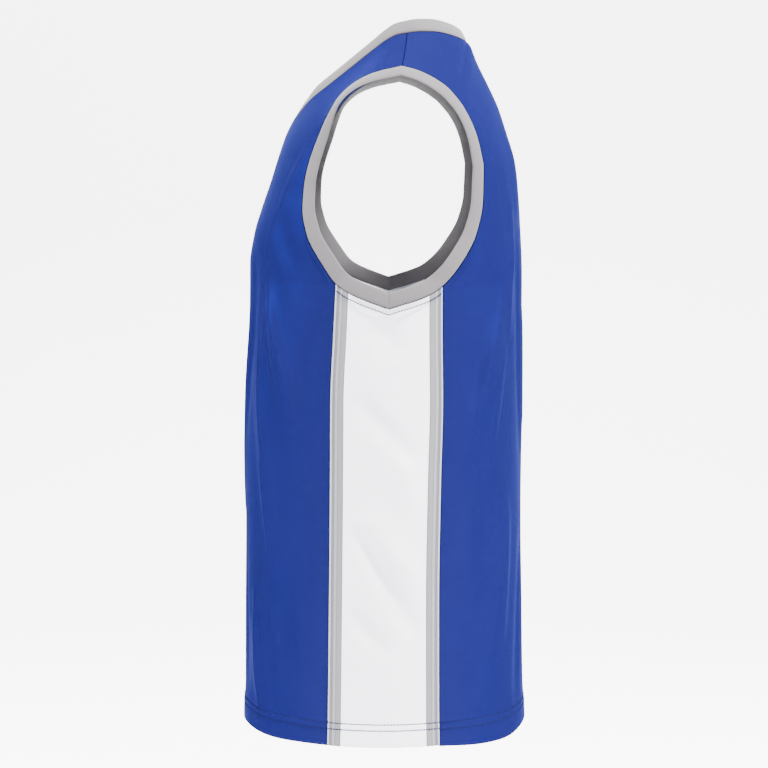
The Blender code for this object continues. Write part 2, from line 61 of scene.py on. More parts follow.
# Fineness
CLOTH_STEP = 0.0031
BAND_STEP = 0.0030
HALF_COLUMNS = 74
EDGE_SHARES = (0.0, 0.002, 0.005, 0.009)
HEM_EDGE = (0.0, 0.0003, 0.0008, 0.0016)
FIRST_COLUMN_SHARE = 0.016
SIDE_ROWS = 170
SIDE_COLUMNS = 40
SIDE_EDGE_SHARES = (0.0, 0.003, 0.007, 0.012, 0.018)
SIDE_FIRST_SHARE = 0.03
CORNER_STEPS = (0.0003, 0.0007, 0.0013, 0.0022)
CORNER_REACH = 0.0035
NORMAL_SHARE_STEP = 0.01
NORMAL_Z_STEP = 0.005
TINY = 1e-6
SHORTEST = 1e-12

# The crease beside the armhole band
CREASE_RISE = 0.022
CREASE_DEPTH = 0.0016
CREASE_INSET = 0.0060
CREASE_WIDTH = 0.0032

# The side panel's hollow below the underarm band
UNDERARM_HOLLOW_DROP = 0.011
UNDERARM_HOLLOW_DEPTH = 0.0024

# Sewing
HEM_DEPTH = 0.0245
HEM_ROWS = (0.0180, 0.0246)
STITCH_LENGTH = 0.0030
STITCH_GAP = 0.0003
THREAD_RADIUS = 0.00062
TOPSTITCH_INSET = 0.0055
# The near-black cord deep in the seams is painted seam shadow: its thickness, depth and end spares
SEAM_SHADOW_CORD_RADIUS = 0.00045
SEAM_SHADOW_CORD_DEPTH = 0.00025
SEAM_SHADOW_SIDE_SPARE = 0.003
SEAM_SHADOW_SHOULDER_SPARE = 0.001
THREAD_LIFT = 0.0008
TOPSTITCH_SHARES = (0.015, 0.985)

# One stitch: share of its length, height and thickness in thread radii
STITCH_SIDES = 6
STITCH_SHAPE = (
    (0.00, -0.90, 0.55),
    (0.15, 0.15, 0.90),
    (0.50, 0.45, 1.00),
    (0.85, 0.15, 0.90),
    (1.00, -0.90, 0.55),
)

# The hem's relief: heights, and the widths that go with them
HEM_LAYER, HEM_LAYER_FADE = 0.00035, 0.0004
HEM_DRAWN, HEM_DRAWN_WIDTH = 0.00055, 0.0013
HEM_PUFF, HEM_PUFF_WIDTH = 0.00015, 0.0020
HEM_RIPPLE, HEM_RIPPLE_WIDTH = 0.00012, 0.010
HEM_INSIDE, HEM_INSIDE_FADE = 0.0007, 0.0003
HEM_ROUNDING = 0.0012

# Rounded edges of the blue cloth: how far from the edge, and how deep
SEAM_ROUNDING = (0.0020, 0.0009)
OPEN_ROUNDING = (0.0018, 0.0008)
DEEPEST_ROUNDING = 0.0010

# Small waves beside the seams: height and reach
SEAM_PUCKER = (0.00020, 0.010)
SIDE_PUCKER = (0.00015, 0.006)

# Unevenness: share, wave length, and how the seed shifts it
WAVES = (
    (0.5, 0.0113, 1.0),
    (0.3, 0.0071, 2.3),
    (0.2, 0.0187, 0.6),
)
SEED_PHASE = 1.7

# The white panel's edges
SIDE_FOLD_INSET = 0.012
HOLLOW_INSET = 0.020
WELT_HEIGHT, WELT_INSET, WELT_WIDTH = 0.0004, 0.0008, 0.0007
SIDE_ROUNDING = (0.0008, 0.0006)

# The bands' mitres and waves
MITRE_GROOVE = 0.0006
BAND_WAVE = 0.00012
BAND_TOP = 0.0010
BAND_INNER_SHARE = 0.6
BAND_INNER_GAP = 0.0002
MITRE_NEAR, MITRE_FAR, MITRE_USED = 1, 8, 6
NECK_MITRE_KEPT = 0.004

# Sections of the front, left half, from hem to shoulder seam. A section starts at
# height z_in and depth y_in on the centre line or neckline, and ends at x_out, y_out,
# z_out on the side seam or armhole. It is the stretch of an ellipse from turn_in to
# turn_out, in degrees, stretched to those ends.
FRONT_COLUMNS = ("z_in", "y_in", "z_out", "x_out", "y_out", "turn_in", "turn_out")
FRONT = (
    (-0.7550, -0.1813, -0.7550, 0.1895, -0.0852, 0, 67),
    (-0.7380, -0.1808, -0.7380, 0.1890, -0.0848, 0, 67),
    (-0.7150, -0.1795, -0.7150, 0.1882, -0.0845, 0, 67),
    (-0.6000, -0.1792, -0.6000, 0.1882, -0.0832, 0, 67),
    (-0.4700, -0.1786, -0.4700, 0.1885, -0.0820, 0, 67),
    (-0.3900, -0.1771, -0.3900, 0.1893, -0.0815, 0, 67),
    (-0.3130, -0.1737, -0.3130, 0.1900, -0.0780, 0, 67),
    (-0.2655, -0.1732, -0.2655, 0.1895, -0.0757, 0, 66),
    (-0.2490, -0.1731, -0.2483, 0.1830, -0.0883, 0, 62),
    (-0.2170, -0.1680, -0.2146, 0.1695, -0.1067, 0, 56),
    (-0.1900, -0.1600, -0.1880, 0.1610, -0.1115, 0, 52),
    (-0.1620, -0.1503, -0.1621, 0.1570, -0.1098, 0, 49),
    (-0.1260, -0.1388, -0.1380, 0.1580, -0.1045, 0, 46),
    (-0.1050, -0.1305, -0.1220, 0.1605, -0.0990, 4, 46),
    (-0.0880, -0.1197, -0.1080, 0.1638, -0.0933, 9, 47),
    (-0.0710, -0.1050, -0.0960, 0.1670, -0.0880, 14, 48),
    (-0.0540, -0.0835, -0.0833, 0.1710, -0.0812, 18, 50),
    (-0.0370, -0.0615, -0.0720, 0.1750, -0.0742, 22, 52),
    (-0.0200, -0.0395, -0.0615, 0.1790, -0.0645, 26, 54),
    (-0.0074, -0.0221, -0.0520, 0.1833, -0.0520, 29, 56),
    (-0.0018, -0.0105, -0.0435, 0.1873, -0.0335, 32, 58),
    (0.0000, 0.0000, -0.0370, 0.1900, -0.0060, 35, 60),
)

# Sections of the back, left half. x_in is nought up to the back of the neck, where the
# sections leave the centre line and follow the half round of the neckline.
BACK_COLUMNS = ("neck_turn", "z_in", "y_in", "z_out", "x_out", "y_out", "turn_in", "turn_out")
BACK = (
    (0, -0.7550, 0.1325, -0.7550, 0.1895, 0.0345, 0, 67),
    (0, -0.7380, 0.1318, -0.7380, 0.1890, 0.0342, 0, 67),
    (0, -0.7150, 0.1303, -0.7150, 0.1882, 0.0340, 0, 67),
    (0, -0.6000, 0.1285, -0.6000, 0.1882, 0.0338, 0, 67),
    (0, -0.4700, 0.1265, -0.4700, 0.1885, 0.0358, 0, 67),
    (0, -0.3900, 0.1268, -0.3900, 0.1893, 0.0377, 0, 67),
    (0, -0.3130, 0.1280, -0.3130, 0.1900, 0.0370, 0, 67),
    (0, -0.2680, 0.1282, -0.2680, 0.1895, 0.0370, 0, 66),
    (0, -0.2450, 0.1278, -0.2463, 0.1800, 0.0559, 0, 61),
    (0, -0.2130, 0.1262, -0.2130, 0.1655, 0.0736, 0, 55),
    (0, -0.1780, 0.1240, -0.1790, 0.1600, 0.0804, 0, 50),
    (0, -0.1380, 0.1190, -0.1450, 0.1600, 0.0811, 0, 48),
    (0, -0.1080, 0.1107, -0.1280, 0.1630, 0.0783, 0, 47),
    (0, -0.0790, 0.1013, -0.1106, 0.1680, 0.0738, 0, 47),
    (0, -0.0530, 0.0893, -0.0980, 0.1722, 0.0688, 0, 47),
    (0, -0.0290, 0.0775, -0.0860, 0.1762, 0.0628, 0, 47),
    (0, -0.0115, 0.0705, -0.0760, 0.1800, 0.0567, 0, 48),
    (0, -0.0070, 0.0665, -0.0680, 0.1825, 0.0503, 0, 49),
    (22, -0.0055, 0.0617, -0.0600, 0.1850, 0.0430, 8, 50),
    (45, -0.0010, 0.0470, -0.0525, 0.1870, 0.0330, 16, 52),
    (65, 0.0018, 0.0281, -0.0460, 0.1885, 0.0215, 23, 54),
    (80, 0.0015, 0.0115, -0.0405, 0.1895, 0.0080, 30, 57),
    (90, 0.0000, 0.0000, -0.0370, 0.1900, -0.0060, 35, 60),
)
CORNER_ROW = 7

# Height of the side's top edge under the arm: at the seams, at the tapes' inner edges
# and at the point of the V
UNDERARM_SEAM_Z = {"front": -0.2655, "back": -0.2680}
UNDERARM_TAPE_Z = {"front": -0.2746, "back": -0.2770}
UNDERARM_POINT_Z = -0.2913

# Where the hem hangs lower
HEM_COLUMNS = ("around", "width", "dip")
HEM_DIPS = {
    "front": (
        (0.130, 0.050, 0.0020),
        (-0.120, 0.055, 0.0025),
    ),
    "back": (
        (0.115, 0.060, 0.0065),
        (0.180, 0.040, 0.0025),
        (-0.110, 0.055, 0.0050),
    ),
}
HEM_DIP_REACH = 0.060

# Soft folds of the blue cloth: straight from top to foot, fading at both ends. Top and
# foot are distances round the body from the centre line, positive on the wearer's left.
FOLD_END_FULLNESS = 0.7
FOLD_EDGE_FULLNESS = 0.5
NECK_CALM_SHARE = 1 / 3
FOLD_COLUMNS = ("top", "z_top", "foot", "z_foot", "width", "height")
FOLDS = {
    "front": (
        (0.108, -0.270, 0.170, -0.415, 0.017, 0.0045),
        (0.083, -0.330, 0.146, -0.585, 0.019, 0.0045),
        (0.078, -0.630, 0.118, -0.752, 0.018, 0.0035),
        (0.185, -0.262, 0.120, -0.190, 0.016, -0.0030),
        (-0.100, -0.255, -0.165, -0.425, 0.018, 0.0045),
        (-0.075, -0.370, -0.135, -0.620, 0.020, 0.0040),
        (-0.095, -0.640, -0.130, -0.752, 0.018, 0.0035),
        (-0.182, -0.262, -0.122, -0.200, 0.016, -0.0030),
    ),
    "back": (
        (0.100, -0.215, 0.122, -0.300, 0.016, 0.0030),
        (0.118, -0.290, 0.185, -0.450, 0.018, 0.0045),
        (0.105, -0.490, 0.145, -0.690, 0.019, 0.0040),
        (-0.108, -0.280, -0.178, -0.470, 0.018, 0.0045),
        (-0.110, -0.510, -0.140, -0.720, 0.020, 0.0040),
        (0.020, -0.300, -0.030, -0.560, 0.026, 0.0030),
    ),
}

# Finer folds, too small for the solids
FINE_FOLDS = {
    "front": (
        (0.166, -0.110, 0.122, -0.185, 0.013, 0.0020),
        (0.138, -0.175, 0.108, -0.240, 0.015, 0.0015),
        (0.118, -0.262, 0.142, -0.345, 0.009, 0.0025),
        (0.100, -0.300, 0.118, -0.470, 0.009, 0.0023),
        (0.112, -0.455, 0.135, -0.570, 0.009, 0.0023),
        (0.088, -0.600, 0.102, -0.720, 0.009, 0.0025),
        (0.110, -0.640, 0.128, -0.735, 0.009, 0.0020),
        (0.205, -0.300, 0.180, -0.420, 0.014, -0.0023),
        (0.190, -0.500, 0.150, -0.690, 0.026, -0.0030),
        (0.030, -0.300, 0.010, -0.520, 0.022, 0.0023),
        (-0.030, -0.420, -0.050, -0.640, 0.020, 0.0023),
        (-0.158, -0.120, -0.120, -0.185, 0.013, 0.0018),
        (-0.110, -0.280, -0.138, -0.360, 0.010, 0.0023),
        (-0.105, -0.340, -0.125, -0.500, 0.009, 0.0023),
        (-0.195, -0.320, -0.170, -0.520, 0.017, -0.0025),
        (0.190, -0.350, 0.215, -0.550, 0.016, -0.0032),
        (0.165, -0.560, 0.205, -0.720, 0.017, 0.0026),
        (0.106, -0.258, 0.172, -0.396, 0.0055, 0.0016),
        (0.083, -0.319, 0.146, -0.545, 0.0055, 0.0016),
        (0.078, -0.600, 0.115, -0.705, 0.0055, 0.0015),
        (0.128, -0.608, 0.153, -0.695, 0.0060, 0.0014),
        (-0.098, -0.250, -0.163, -0.410, 0.0055, 0.0015),
        (-0.075, -0.370, -0.133, -0.600, 0.0055, 0.0015),
        (0.072, -0.235, 0.030, -0.450, 0.015, -0.0034),
        (-0.068, -0.260, -0.022, -0.500, 0.016, -0.0036),
        (0.012, -0.520, 0.052, -0.720, 0.015, -0.0032),
        (-0.070, -0.560, -0.035, -0.730, 0.014, -0.0034),
    ),
    "back": (
        (0.092, -0.175, 0.100, -0.330, 0.009, 0.0025),
        (0.112, -0.330, 0.150, -0.470, 0.009, 0.0028),
        (0.098, -0.500, 0.120, -0.665, 0.010, 0.0023),
        (0.180, -0.300, 0.165, -0.420, 0.017, -0.0025),
        (0.160, -0.520, 0.185, -0.700, 0.023, -0.0028),
        (-0.095, -0.180, -0.102, -0.320, 0.010, 0.0025),
        (-0.115, -0.350, -0.150, -0.480, 0.010, 0.0023),
        (-0.100, -0.540, -0.122, -0.690, 0.010, 0.0023),
        (0.172, -0.330, 0.150, -0.560, 0.015, -0.0030),
        (0.190, -0.430, 0.165, -0.640, 0.014, 0.0026),
        (0.045, -0.090, 0.060, -0.200, 0.023, 0.0020),
        (-0.050, -0.090, -0.060, -0.210, 0.023, 0.0020),
        (0.113, -0.262, 0.182, -0.425, 0.0055, 0.0016),
        (0.105, -0.485, 0.142, -0.660, 0.0055, 0.0016),
        (-0.108, -0.280, -0.178, -0.450, 0.0055, 0.0015),
        (-0.110, -0.510, -0.140, -0.700, 0.0055, 0.0015),
        (0.074, -0.210, 0.028, -0.470, 0.015, -0.0038),
        (-0.030, -0.240, -0.078, -0.500, 0.014, -0.0036),
        (-0.004, -0.420, -0.052, -0.660, 0.013, -0.0032),
        (0.030, -0.540, 0.076, -0.735, 0.015, -0.0038),
        (-0.064, -0.600, -0.092, -0.740, 0.013, -0.0034),
    ),
}

# Soft troughs and ridges of the white panels, the left's and the right's. Top and foot
# are shares of the way from the front seam to the back one.
SIDE_FOLDS = {
    1: (
        (0.22, -0.385, 0.78, -0.455, 0.011, -0.0046),
        (0.20, -0.520, 0.82, -0.640, 0.010, -0.0070),
        (0.30, -0.505, 0.86, -0.590, 0.013, 0.0039),
        (0.18, -0.610, 0.55, -0.660, 0.010, -0.0046),
        (0.40, -0.300, 0.62, -0.345, 0.018, -0.0057),
        (0.55, -0.420, 0.75, -0.510, 0.016, 0.0039),
    ),
    -1: (
        (0.25, -0.360, 0.75, -0.440, 0.012, -0.0049),
        (0.80, -0.500, 0.22, -0.610, 0.011, -0.0063),
        (0.35, -0.600, 0.80, -0.680, 0.012, -0.0042),
        (0.45, -0.300, 0.60, -0.340, 0.018, -0.0057),
    ),
}

# Knit: depth of its relief, and the height of a row to the width of a column
KNIT_RELIEF = 0.0002
ROW_TO_COLUMN = 0.8

# Linear RGB of the cloths
BLUE = (0.0062, 0.0072, 0.050)
BLUE_INSIDE = (0.0070, 0.0090, 0.062)
WHITE = (0.62, 0.625, 0.665)
BAND_GREY = (0.074, 0.069, 0.072)
TAPE_GREY = (0.118, 0.117, 0.125)
# The tape's darker grey is painted shade in its dips, its lighter grey painted highlight on its
# ridge
TAPE_PAINTED_SHADE = (0.086, 0.086, 0.094)
TAPE_PAINTED_HIGHLIGHT = (0.150, 0.150, 0.158)
PIPING = (0.210, 0.218, 0.262)
THREAD = (0.0070, 0.0082, 0.034)
# Painted seam shadow: the near-black of the cord laid deep in the seams
PAINTED_SEAM_SHADOW = (0.0014, 0.0022, 0.013)
STUDIO = (0.93, 0.93, 0.94)

# Studio: the floor along X, its half width, and the bend up to the wall
FLOOR_Z = -1.05
FLOOR_FRONT, FLOOR_BACK, FLOOR_REACH = 4.5, -2.5, 9.0
WALL_BEND, WALL_TOP = 1.6, 6.0
SKY = (0.97, 0.98, 1.0)
SKY_STRENGTH = 0.5

# Lights: name, place, size, watts, and where each is aimed
BODY = (0, -0.02, -0.38)
LIGHTS = (
    ("key", (1.4, 0.9, 2.8), (0.7, 0.7), 880, BODY),
    ("fill", (2.2, -2.8, 1.6), (0.8, 0.8), 110, BODY),
    ("camera_side", (3.2, 0.0, 0.35), (0.8, 0.8), 45, (0, 0, -0.25)),
    ("front", (-0.3, -3.2, 1.0), (0.7, 1.6), 340, BODY),
    ("behind", (-0.3, 3.1, 1.0), (0.7, 1.6), 340, BODY),
    ("far_side", (-2.8, -0.3, 1.4), (1.5, 1.5), 140, BODY),
    ("above", (0.2, 0.0, 2.6), (1.2, 1.2), 170, BODY),
)

# Camera, measured for a 768 px square frame
CAMERA_PLACE = (3.5, -0.0247, -0.1137)
CAMERA_TILT = math.radians(4.435)
CAMERA_LENS_MM = 148
CAMERA_SENSOR_MM = 36


# ---------------------------------------------------------------- curves
def smooth(t, knots, values, first_slope=None):
    """A curve through the values that never swings past them, read at t."""
    knots = np.asarray(knots, float)
    values = np.asarray(values, float)
    step = np.diff(knots)
    rise = np.diff(values) / step
    slope = np.zeros_like(values)
    slope[0], slope[-1] = rise[0], rise[-1]
    if first_slope is not None:
        slope[0] = first_slope
    turning = rise[:-1] * rise[1:] > 0
    before, after = rise[:-1][turning], rise[1:][turning]
    slope[1:-1][turning] = 2 * before * after / (before + after)
    i = np.clip(np.searchsorted(knots, t, side="right") - 1, 0, len(step) - 1)
    s = (t - knots[i]) / step[i]
    across = step[i]
    return (
        values[i] * (1 + 2 * s) * (1 - s) ** 2
        + slope[i] * across * s * (1 - s) ** 2
        + values[i + 1] * s * s * (3 - 2 * s)
        + slope[i + 1] * across * s * s * (s - 1)
    )


def unit(vectors):
    length = np.linalg.norm(vectors, axis=-1, keepdims=True)
    return vectors / np.maximum(length, SHORTEST)


def bell(distance, width):
    return np.exp(-((distance / width) ** 2))


def waver(distance, seed):
    """An uneven wave between about -1 and 1, the same each run."""
    phase = SEED_PHASE * seed
    return sum(
        share * np.sin(distance * 2 * np.pi / length + shift * phase)
        for share, length, shift in WAVES
    )


def faced(vectors, towards):
    """The vectors, each turned round if it points against its own in towards."""
    facing = np.sum(vectors * towards, axis=-1, keepdims=True)
    return np.where(facing < 0, -vectors, vectors)


def run_length(points, axis=0):
    """The distance along a path or a grid from its first points."""
    steps = np.linalg.norm(np.diff(points, axis=axis), axis=-1)
    pad = [(0, 0)] * steps.ndim
    pad[axis] = (1, 0)
    return np.cumsum(np.pad(steps, pad), axis=axis)


def closed(values):
    return np.concatenate([values, values[:1]])


def read_along(at, along, values):
    return np.stack([np.interp(at, along, values[:, k]) for k in range(3)], axis=-1)


# ---------------------------------------------------------------- panels
def table(rows, columns):
    return {name: np.array([row[i] for row in rows], float) for i, name in enumerate(columns)}


def cut_table(piece):
    return table(FRONT, FRONT_COLUMNS) if piece == "front" else table(BACK, BACK_COLUMNS)


def panel_rows(known):
    """Where the mesh rows lie along the table, from hem to shoulder."""
    outer = np.stack([known[name] for name in ("x_out", "y_out", "z_out")], axis=-1)
    inner = np.stack([known["z_in"], known["y_in"]], axis=-1)
    spans = np.maximum(
        np.linalg.norm(np.diff(outer, axis=0), axis=-1),
        np.linalg.norm(np.diff(inner, axis=0), axis=-1),
    )
    rows = [0.0]
    for i, span in enumerate(spans):
        steps = max(1, round(span / CLOTH_STEP))
        rows += [i + (k + 1) / steps for k in range(steps)]
    along = np.arange(len(known["z_in"]))
    marks = [HEM_Z + rise for rise in (*HEM_EDGE, *HEM_ROWS, HEM_DEPTH)]
    rows += np.interp(marks, known["z_in"][: CORNER_ROW + 1], along[: CORNER_ROW + 1]).tolist()
    rows += [spans.size - edge * 20 for edge in EDGE_SHARES]
    rows = np.unique(np.round(rows, 6))
    return rows[np.concatenate([[True], np.diff(rows) > 0.004])]


def panel_sections(piece):
    """The table's numbers at every mesh row, from hem to shoulder."""
    known = cut_table(piece)
    along = np.arange(len(known["z_in"]), dtype=float)
    rows = panel_rows(known)
    height = known["z_in"]
    at = np.interp(rows, along, height)
    by_row = {name: smooth(rows, along, values) for name, values in known.items()}
    below = rows <= CORNER_ROW
    straight = slice(0, CORNER_ROW + 1)
    for name in ("y_in", "x_out", "y_out"):
        by_row[name][below] = smooth(at[below], height[straight], known[name][straight])
    by_row["z_in"][below] = at[below]
    by_row["z_out"][below] = at[below]
    armhole = slice(CORNER_ROW, None)
    slopes = corner_slopes(piece, known)
    for name in ("x_out", "y_out", "z_out"):
        by_row[name][~below] = smooth(
            rows[~below], along[armhole], known[name][armhole], slopes[name]
        )
    if piece == "front":
        climb = (by_row["z_in"] + V_DEPTH) / V_DEPTH
        by_row["x_in"] = NECK_HALF_WIDTH * np.clip(climb, 0, None)
    else:
        by_row["x_in"] = NECK_HALF_WIDTH * np.sin(np.radians(by_row["neck_turn"]))
    return by_row


def corner_slopes(piece, known):
    """How the armhole leaves the side seam, in line with the edge under the arm."""
    names = ("x_out", "y_out", "z_out")
    share = TRIM_SHARE if piece == "front" else 1 - TRIM_SHARE
    before = side_point(np.array(share), np.array(UNDERARM_TAPE_Z[piece]), 1)
    corner, after = (
        np.array([known[name][row] for name in names]) for row in (CORNER_ROW, CORNER_ROW + 1)
    )
    arriving = unit(corner - before) * np.linalg.norm(after - corner)
    mean = (arriving + (after - corner)) / 2
    return dict(zip(names, mean))


def column_shares():
    near = np.array(EDGE_SHARES)
    middle = np.linspace(FIRST_COLUMN_SHARE, 1 - FIRST_COLUMN_SHARE, HALF_COLUMNS)
    return np.concatenate([near, middle, 1 - near[::-1]])


def panel_grid(rows, side):
    """One half of the front or back: rows from hem to shoulder, columns outwards."""
    share = column_shares()[None, :]
    first = np.radians(rows["turn_in"])[:, None]
    last = np.radians(rows["turn_out"])[:, None]
    turn = first + (last - first) * share
    outwards = (np.sin(turn) - np.sin(first)) / (np.sin(last) - np.sin(first))
    round_off = (np.cos(first) - np.cos(turn)) / (np.cos(first) - np.cos(last))

    def between(start, end, part):
        return rows[start][:, None] + (rows[end] - rows[start])[:, None] * part

    x = between("x_in", "x_out", outwards)
    y = between("y_in", "y_out", round_off)
    fall = np.hypot(x, RIDGE_ROUNDING)
    z = between("z_in", "z_out", (fall - fall[:, :1]) / (fall[:, -1:] - fall[:, :1]))
    return np.stack([side * x, y, z], axis=-1)


def away_from_body(points):
    out = points - np.array([0.0, BODY_MIDDLE_Y, 0.0])
    out[..., 2] = np.clip(points[..., 2] - CHEST_Z, 0, None)
    return out


def grid_normals(grid):
    """Unit normals of a grid of points, pointing away from the body."""
    down = np.gradient(grid, axis=0)
    across = np.gradient(grid, axis=1)
    return faced(unit(np.cross(across, down)), away_from_body(grid))


def fold_push(folds, across, z, scale=1.0):
    """How far soft folds lift the cloth; scale turns the tables' measure into metres."""
    push = np.zeros_like(z)
    for row in folds:
        fold = dict(zip(FOLD_COLUMNS, row))
        run_across = (fold["foot"] - fold["top"]) * scale
        run_z = fold["z_foot"] - fold["z_top"]
        length = math.hypot(run_across, run_z)
        past_across = (across - fold["top"]) * scale
        past_z = z - fold["z_top"]
        along = (past_across * run_across + past_z * run_z) / length**2
        aside = (past_across * run_z - past_z * run_across) / length
        fade = np.sin(np.pi * np.clip(along, 0, 1)) ** FOLD_END_FULLNESS
        push += fold["height"] * fade * bell(aside, fold["width"])
    return push


def hem_dip(piece, around, z):
    near_hem = np.clip(1 - (z - HEM_Z) / HEM_DIP_REACH, 0, 1) ** 2
    dip = np.zeros_like(z)
    for row in HEM_DIPS[piece]:
        place = dict(zip(HEM_COLUMNS, row))
        dip += place["dip"] * bell(around - place["around"], place["width"])
    return dip * near_hem


def rounded_edge(distance, reach, depth):
    """How far an edge's outer face curls in, depth at the edge and nothing at reach."""
    part = np.clip(1 - distance / reach, 0, 1)
    return depth * (1 - np.sqrt(np.clip(1 - part**2, 0, 1)))


def seam_pucker(distance, along, seed, height, reach):
    """Small uneven waves beside a seam."""
    return height * waver(along, seed) * bell(distance - reach / 3, reach)


def armhole_crease(piece, z, to_outer):
    """A soft trough beside the band near the lower corner of the armhole."""
    low_part = bell(z - UNDERARM_SEAM_Z[piece] - CREASE_RISE, CREASE_RISE)
    return CREASE_DEPTH * low_part * bell(to_outer - CREASE_INSET, CREASE_WIDTH)


def hem_relief(height, along, seed):
    """The turned-up hem: two layers up to HEM_DEPTH, drawn in at the rows of stitches."""
    layer = HEM_LAYER / (1 + np.exp((height - HEM_DEPTH) / HEM_LAYER_FADE))
    drawn = sum(bell(height - row, HEM_DRAWN_WIDTH) for row in HEM_ROWS)
    puff = bell(height - sum(HEM_ROWS) / 2, HEM_PUFF_WIDTH)
    ripple = waver(along, seed) * bell(height - HEM_ROWS[1], HEM_RIPPLE_WIDTH)
    return layer - HEM_DRAWN * drawn + HEM_PUFF * puff + HEM_RIPPLE * ripple


def hem_inner(height):
    """How much deeper the inner face lies at the turned-up hem, and its rounded edge."""
    edge = 0.5 * rounded_edge(height, HEM_EDGE[-1], HEM_ROUNDING)
    return HEM_INSIDE / (1 + np.exp((height - HEM_DEPTH) / HEM_INSIDE_FADE)) - edge, edge


def panel_half(piece, side):
    """Outer and inner points of one half panel, and its distances along the cloth."""
    grid = panel_grid(panel_sections(piece), side)
    normals = grid_normals(grid)
    z = grid[..., 2]
    height = z - HEM_Z
    from_middle = run_length(grid[:, :, :2], axis=1) + np.abs(grid[:, :1, 0])
    around = side * from_middle
    in_row = run_length(grid, axis=1)
    to_outer = in_row[:, -1:] - in_row
    in_column = run_length(grid)
    to_shoulder = in_column[-1:] - in_column

    share = column_shares()
    room = np.where(share < 0.5, 1.0, np.sin(np.pi * share) ** FOLD_EDGE_FULLNESS)
    neck_rows = np.abs(grid[:, 0, 0]) > TINY
    calm = np.ones_like(height) * room
    calm[neck_rows] *= np.minimum(1, share / NECK_CALM_SHARE)
    low = calm * fold_push(FOLDS[piece], around, z)
    low += calm * fold_push(FINE_FOLDS[piece], around, z)

    seed = {"front": 1, "back": 2}[piece] + 0.3 * side
    low += seam_pucker(to_outer, in_column, seed, *SEAM_PUCKER)
    low -= armhole_crease(piece, z, to_outer)
    low += hem_relief(height, from_middle, seed + 2)
    hem_deeper, hem_edge = hem_inner(height)
    to_neck = np.where(neck_rows[:, None], in_row, 1.0)
    edge = rounded_edge(to_outer, *SEAM_ROUNDING)
    edge += rounded_edge(to_shoulder, *OPEN_ROUNDING)
    edge += hem_edge
    edge += rounded_edge(to_neck, *OPEN_ROUNDING)

    outer = grid + normals * (low - np.minimum(edge, DEEPEST_ROUNDING))[..., None]
    inner = grid + normals * (low - PANEL_CLOTH - hem_deeper)[..., None]
    dip = hem_dip(piece, around, z)
    outer[..., 2] -= dip
    inner[..., 2] -= dip
    cloth = np.stack([around, z], axis=-1)
    return {"base": grid, "normals": normals, "outer": outer, "inner": inner, "cloth": cloth}


# ---------------------------------------------------------------- side strips
def side_seam(piece, z):
    """A side seam's points at the heights z, on the wearer's left."""
    rows = cut_table(piece)
    straight = slice(0, CORNER_ROW + 1)
    heights = rows["z_out"][straight]
    x = smooth(z, heights, rows["x_out"][straight])
    y = smooth(z, heights, rows["y_out"][straight])
    return np.stack([x, y, z], axis=-1)


def side_width(z):
    """The distance round the side from seam to seam."""
    chord = np.linalg.norm(side_seam("back", z) - side_seam("front", z), axis=-1)
    return chord * (1 + 8 / 3 * (SIDE_BOW / chord) ** 2)


def side_point(share, z, side):
    """A point of the side at a share of the way from the front seam to the back one."""
    share, z = np.broadcast_arrays(share, z)
    front, back = side_seam("front", z), side_seam("back", z)
    turn = (2 * share - 1) * SIDE_SWEEP
    across = (np.sin(turn) / math.sin(SIDE_SWEEP) + 1) / 2
    bow = (np.cos(turn) - math.cos(SIDE_SWEEP)) / (1 - math.cos(SIDE_SWEEP)) * SIDE_BOW
    point = front + (back - front) * across[..., None]
    point[..., 0] += bow
    point[..., 0] *= side
    return point


def side_normals(points, share, z, side):
    """Normals of the side's own surface at points that lie on it."""
    ahead = side_point(share + NORMAL_SHARE_STEP, z, side)
    below = side_point(share, z - NORMAL_Z_STEP, side)
    return faced(unit(np.cross(ahead - points, below - points)), away_from_body(points))


def width_at(z):
    return float(side_width(np.array(z)))


TRIM_SHARE = (PIPING_WIDTH + TAPE_WIDTH) / width_at(UNDERARM_POINT_Z)


def underarm_z(share):
    """Height of the side's top edge: two curves that meet in a V, in line with the armhole."""
    width = width_at(UNDERARM_POINT_Z)
    edges = []
    for piece, way, part in (("front", 1, share), ("back", -1, 1 - share)):
        rows = cut_table(piece)
        y, z = rows["y_out"], rows["z_out"]
        beyond = way * (y[CORNER_ROW + 1] - y[CORNER_ROW]) / width
        knots = (beyond, 0, TRIM_SHARE, 0.5)
        heights = (
            z[CORNER_ROW + 1],
            UNDERARM_SEAM_Z[piece],
            UNDERARM_TAPE_Z[piece],
            UNDERARM_POINT_Z,
        )
        edges.append(smooth(part, knots, heights))
    return np.where(share <= 0.5, *edges)


def strip_rows():
    even = np.linspace(0, 1, SIDE_ROWS)
    length = UNDERARM_POINT_Z - HEM_Z
    marks = [rise / length for rise in (*HEM_EDGE, *HEM_ROWS, HEM_DEPTH)]
    tops = [1 - edge / length for edge in HEM_EDGE]
    rows = np.unique(np.round(np.concatenate([even, marks, tops]), 6))
    return rows[np.concatenate([[True], np.diff(rows) > 0.0003])]


def side_strip(first, last, from_seam, part, side):
    """A strip of the side, its edges at set distances from the front or back seam.

    part gives its columns as shares of its width. from_seam is front, back or middle:
    middle runs from first off the front seam to last off the back one.
    """
    part = np.asarray(part, float)[None, :]
    rise = strip_rows()[:, None]
    top_share = 0.5 * np.ones_like(part)
    for _ in range(3):
        top = underarm_z(top_share)
        z = HEM_Z + (UNDERARM_POINT_Z - HEM_Z) * rise + (top - UNDERARM_POINT_Z) * rise**8
        width = side_width(z)
        if from_seam == "front":
            share = (first + (last - first) * part) / width
        elif from_seam == "back":
            share = 1 - (first + (last - first) * part) / width
        else:
            share = first / width + (1 - (first + last) / width) * part
        top_share = share[-1:, :]
    return side_point(share, z, side), share


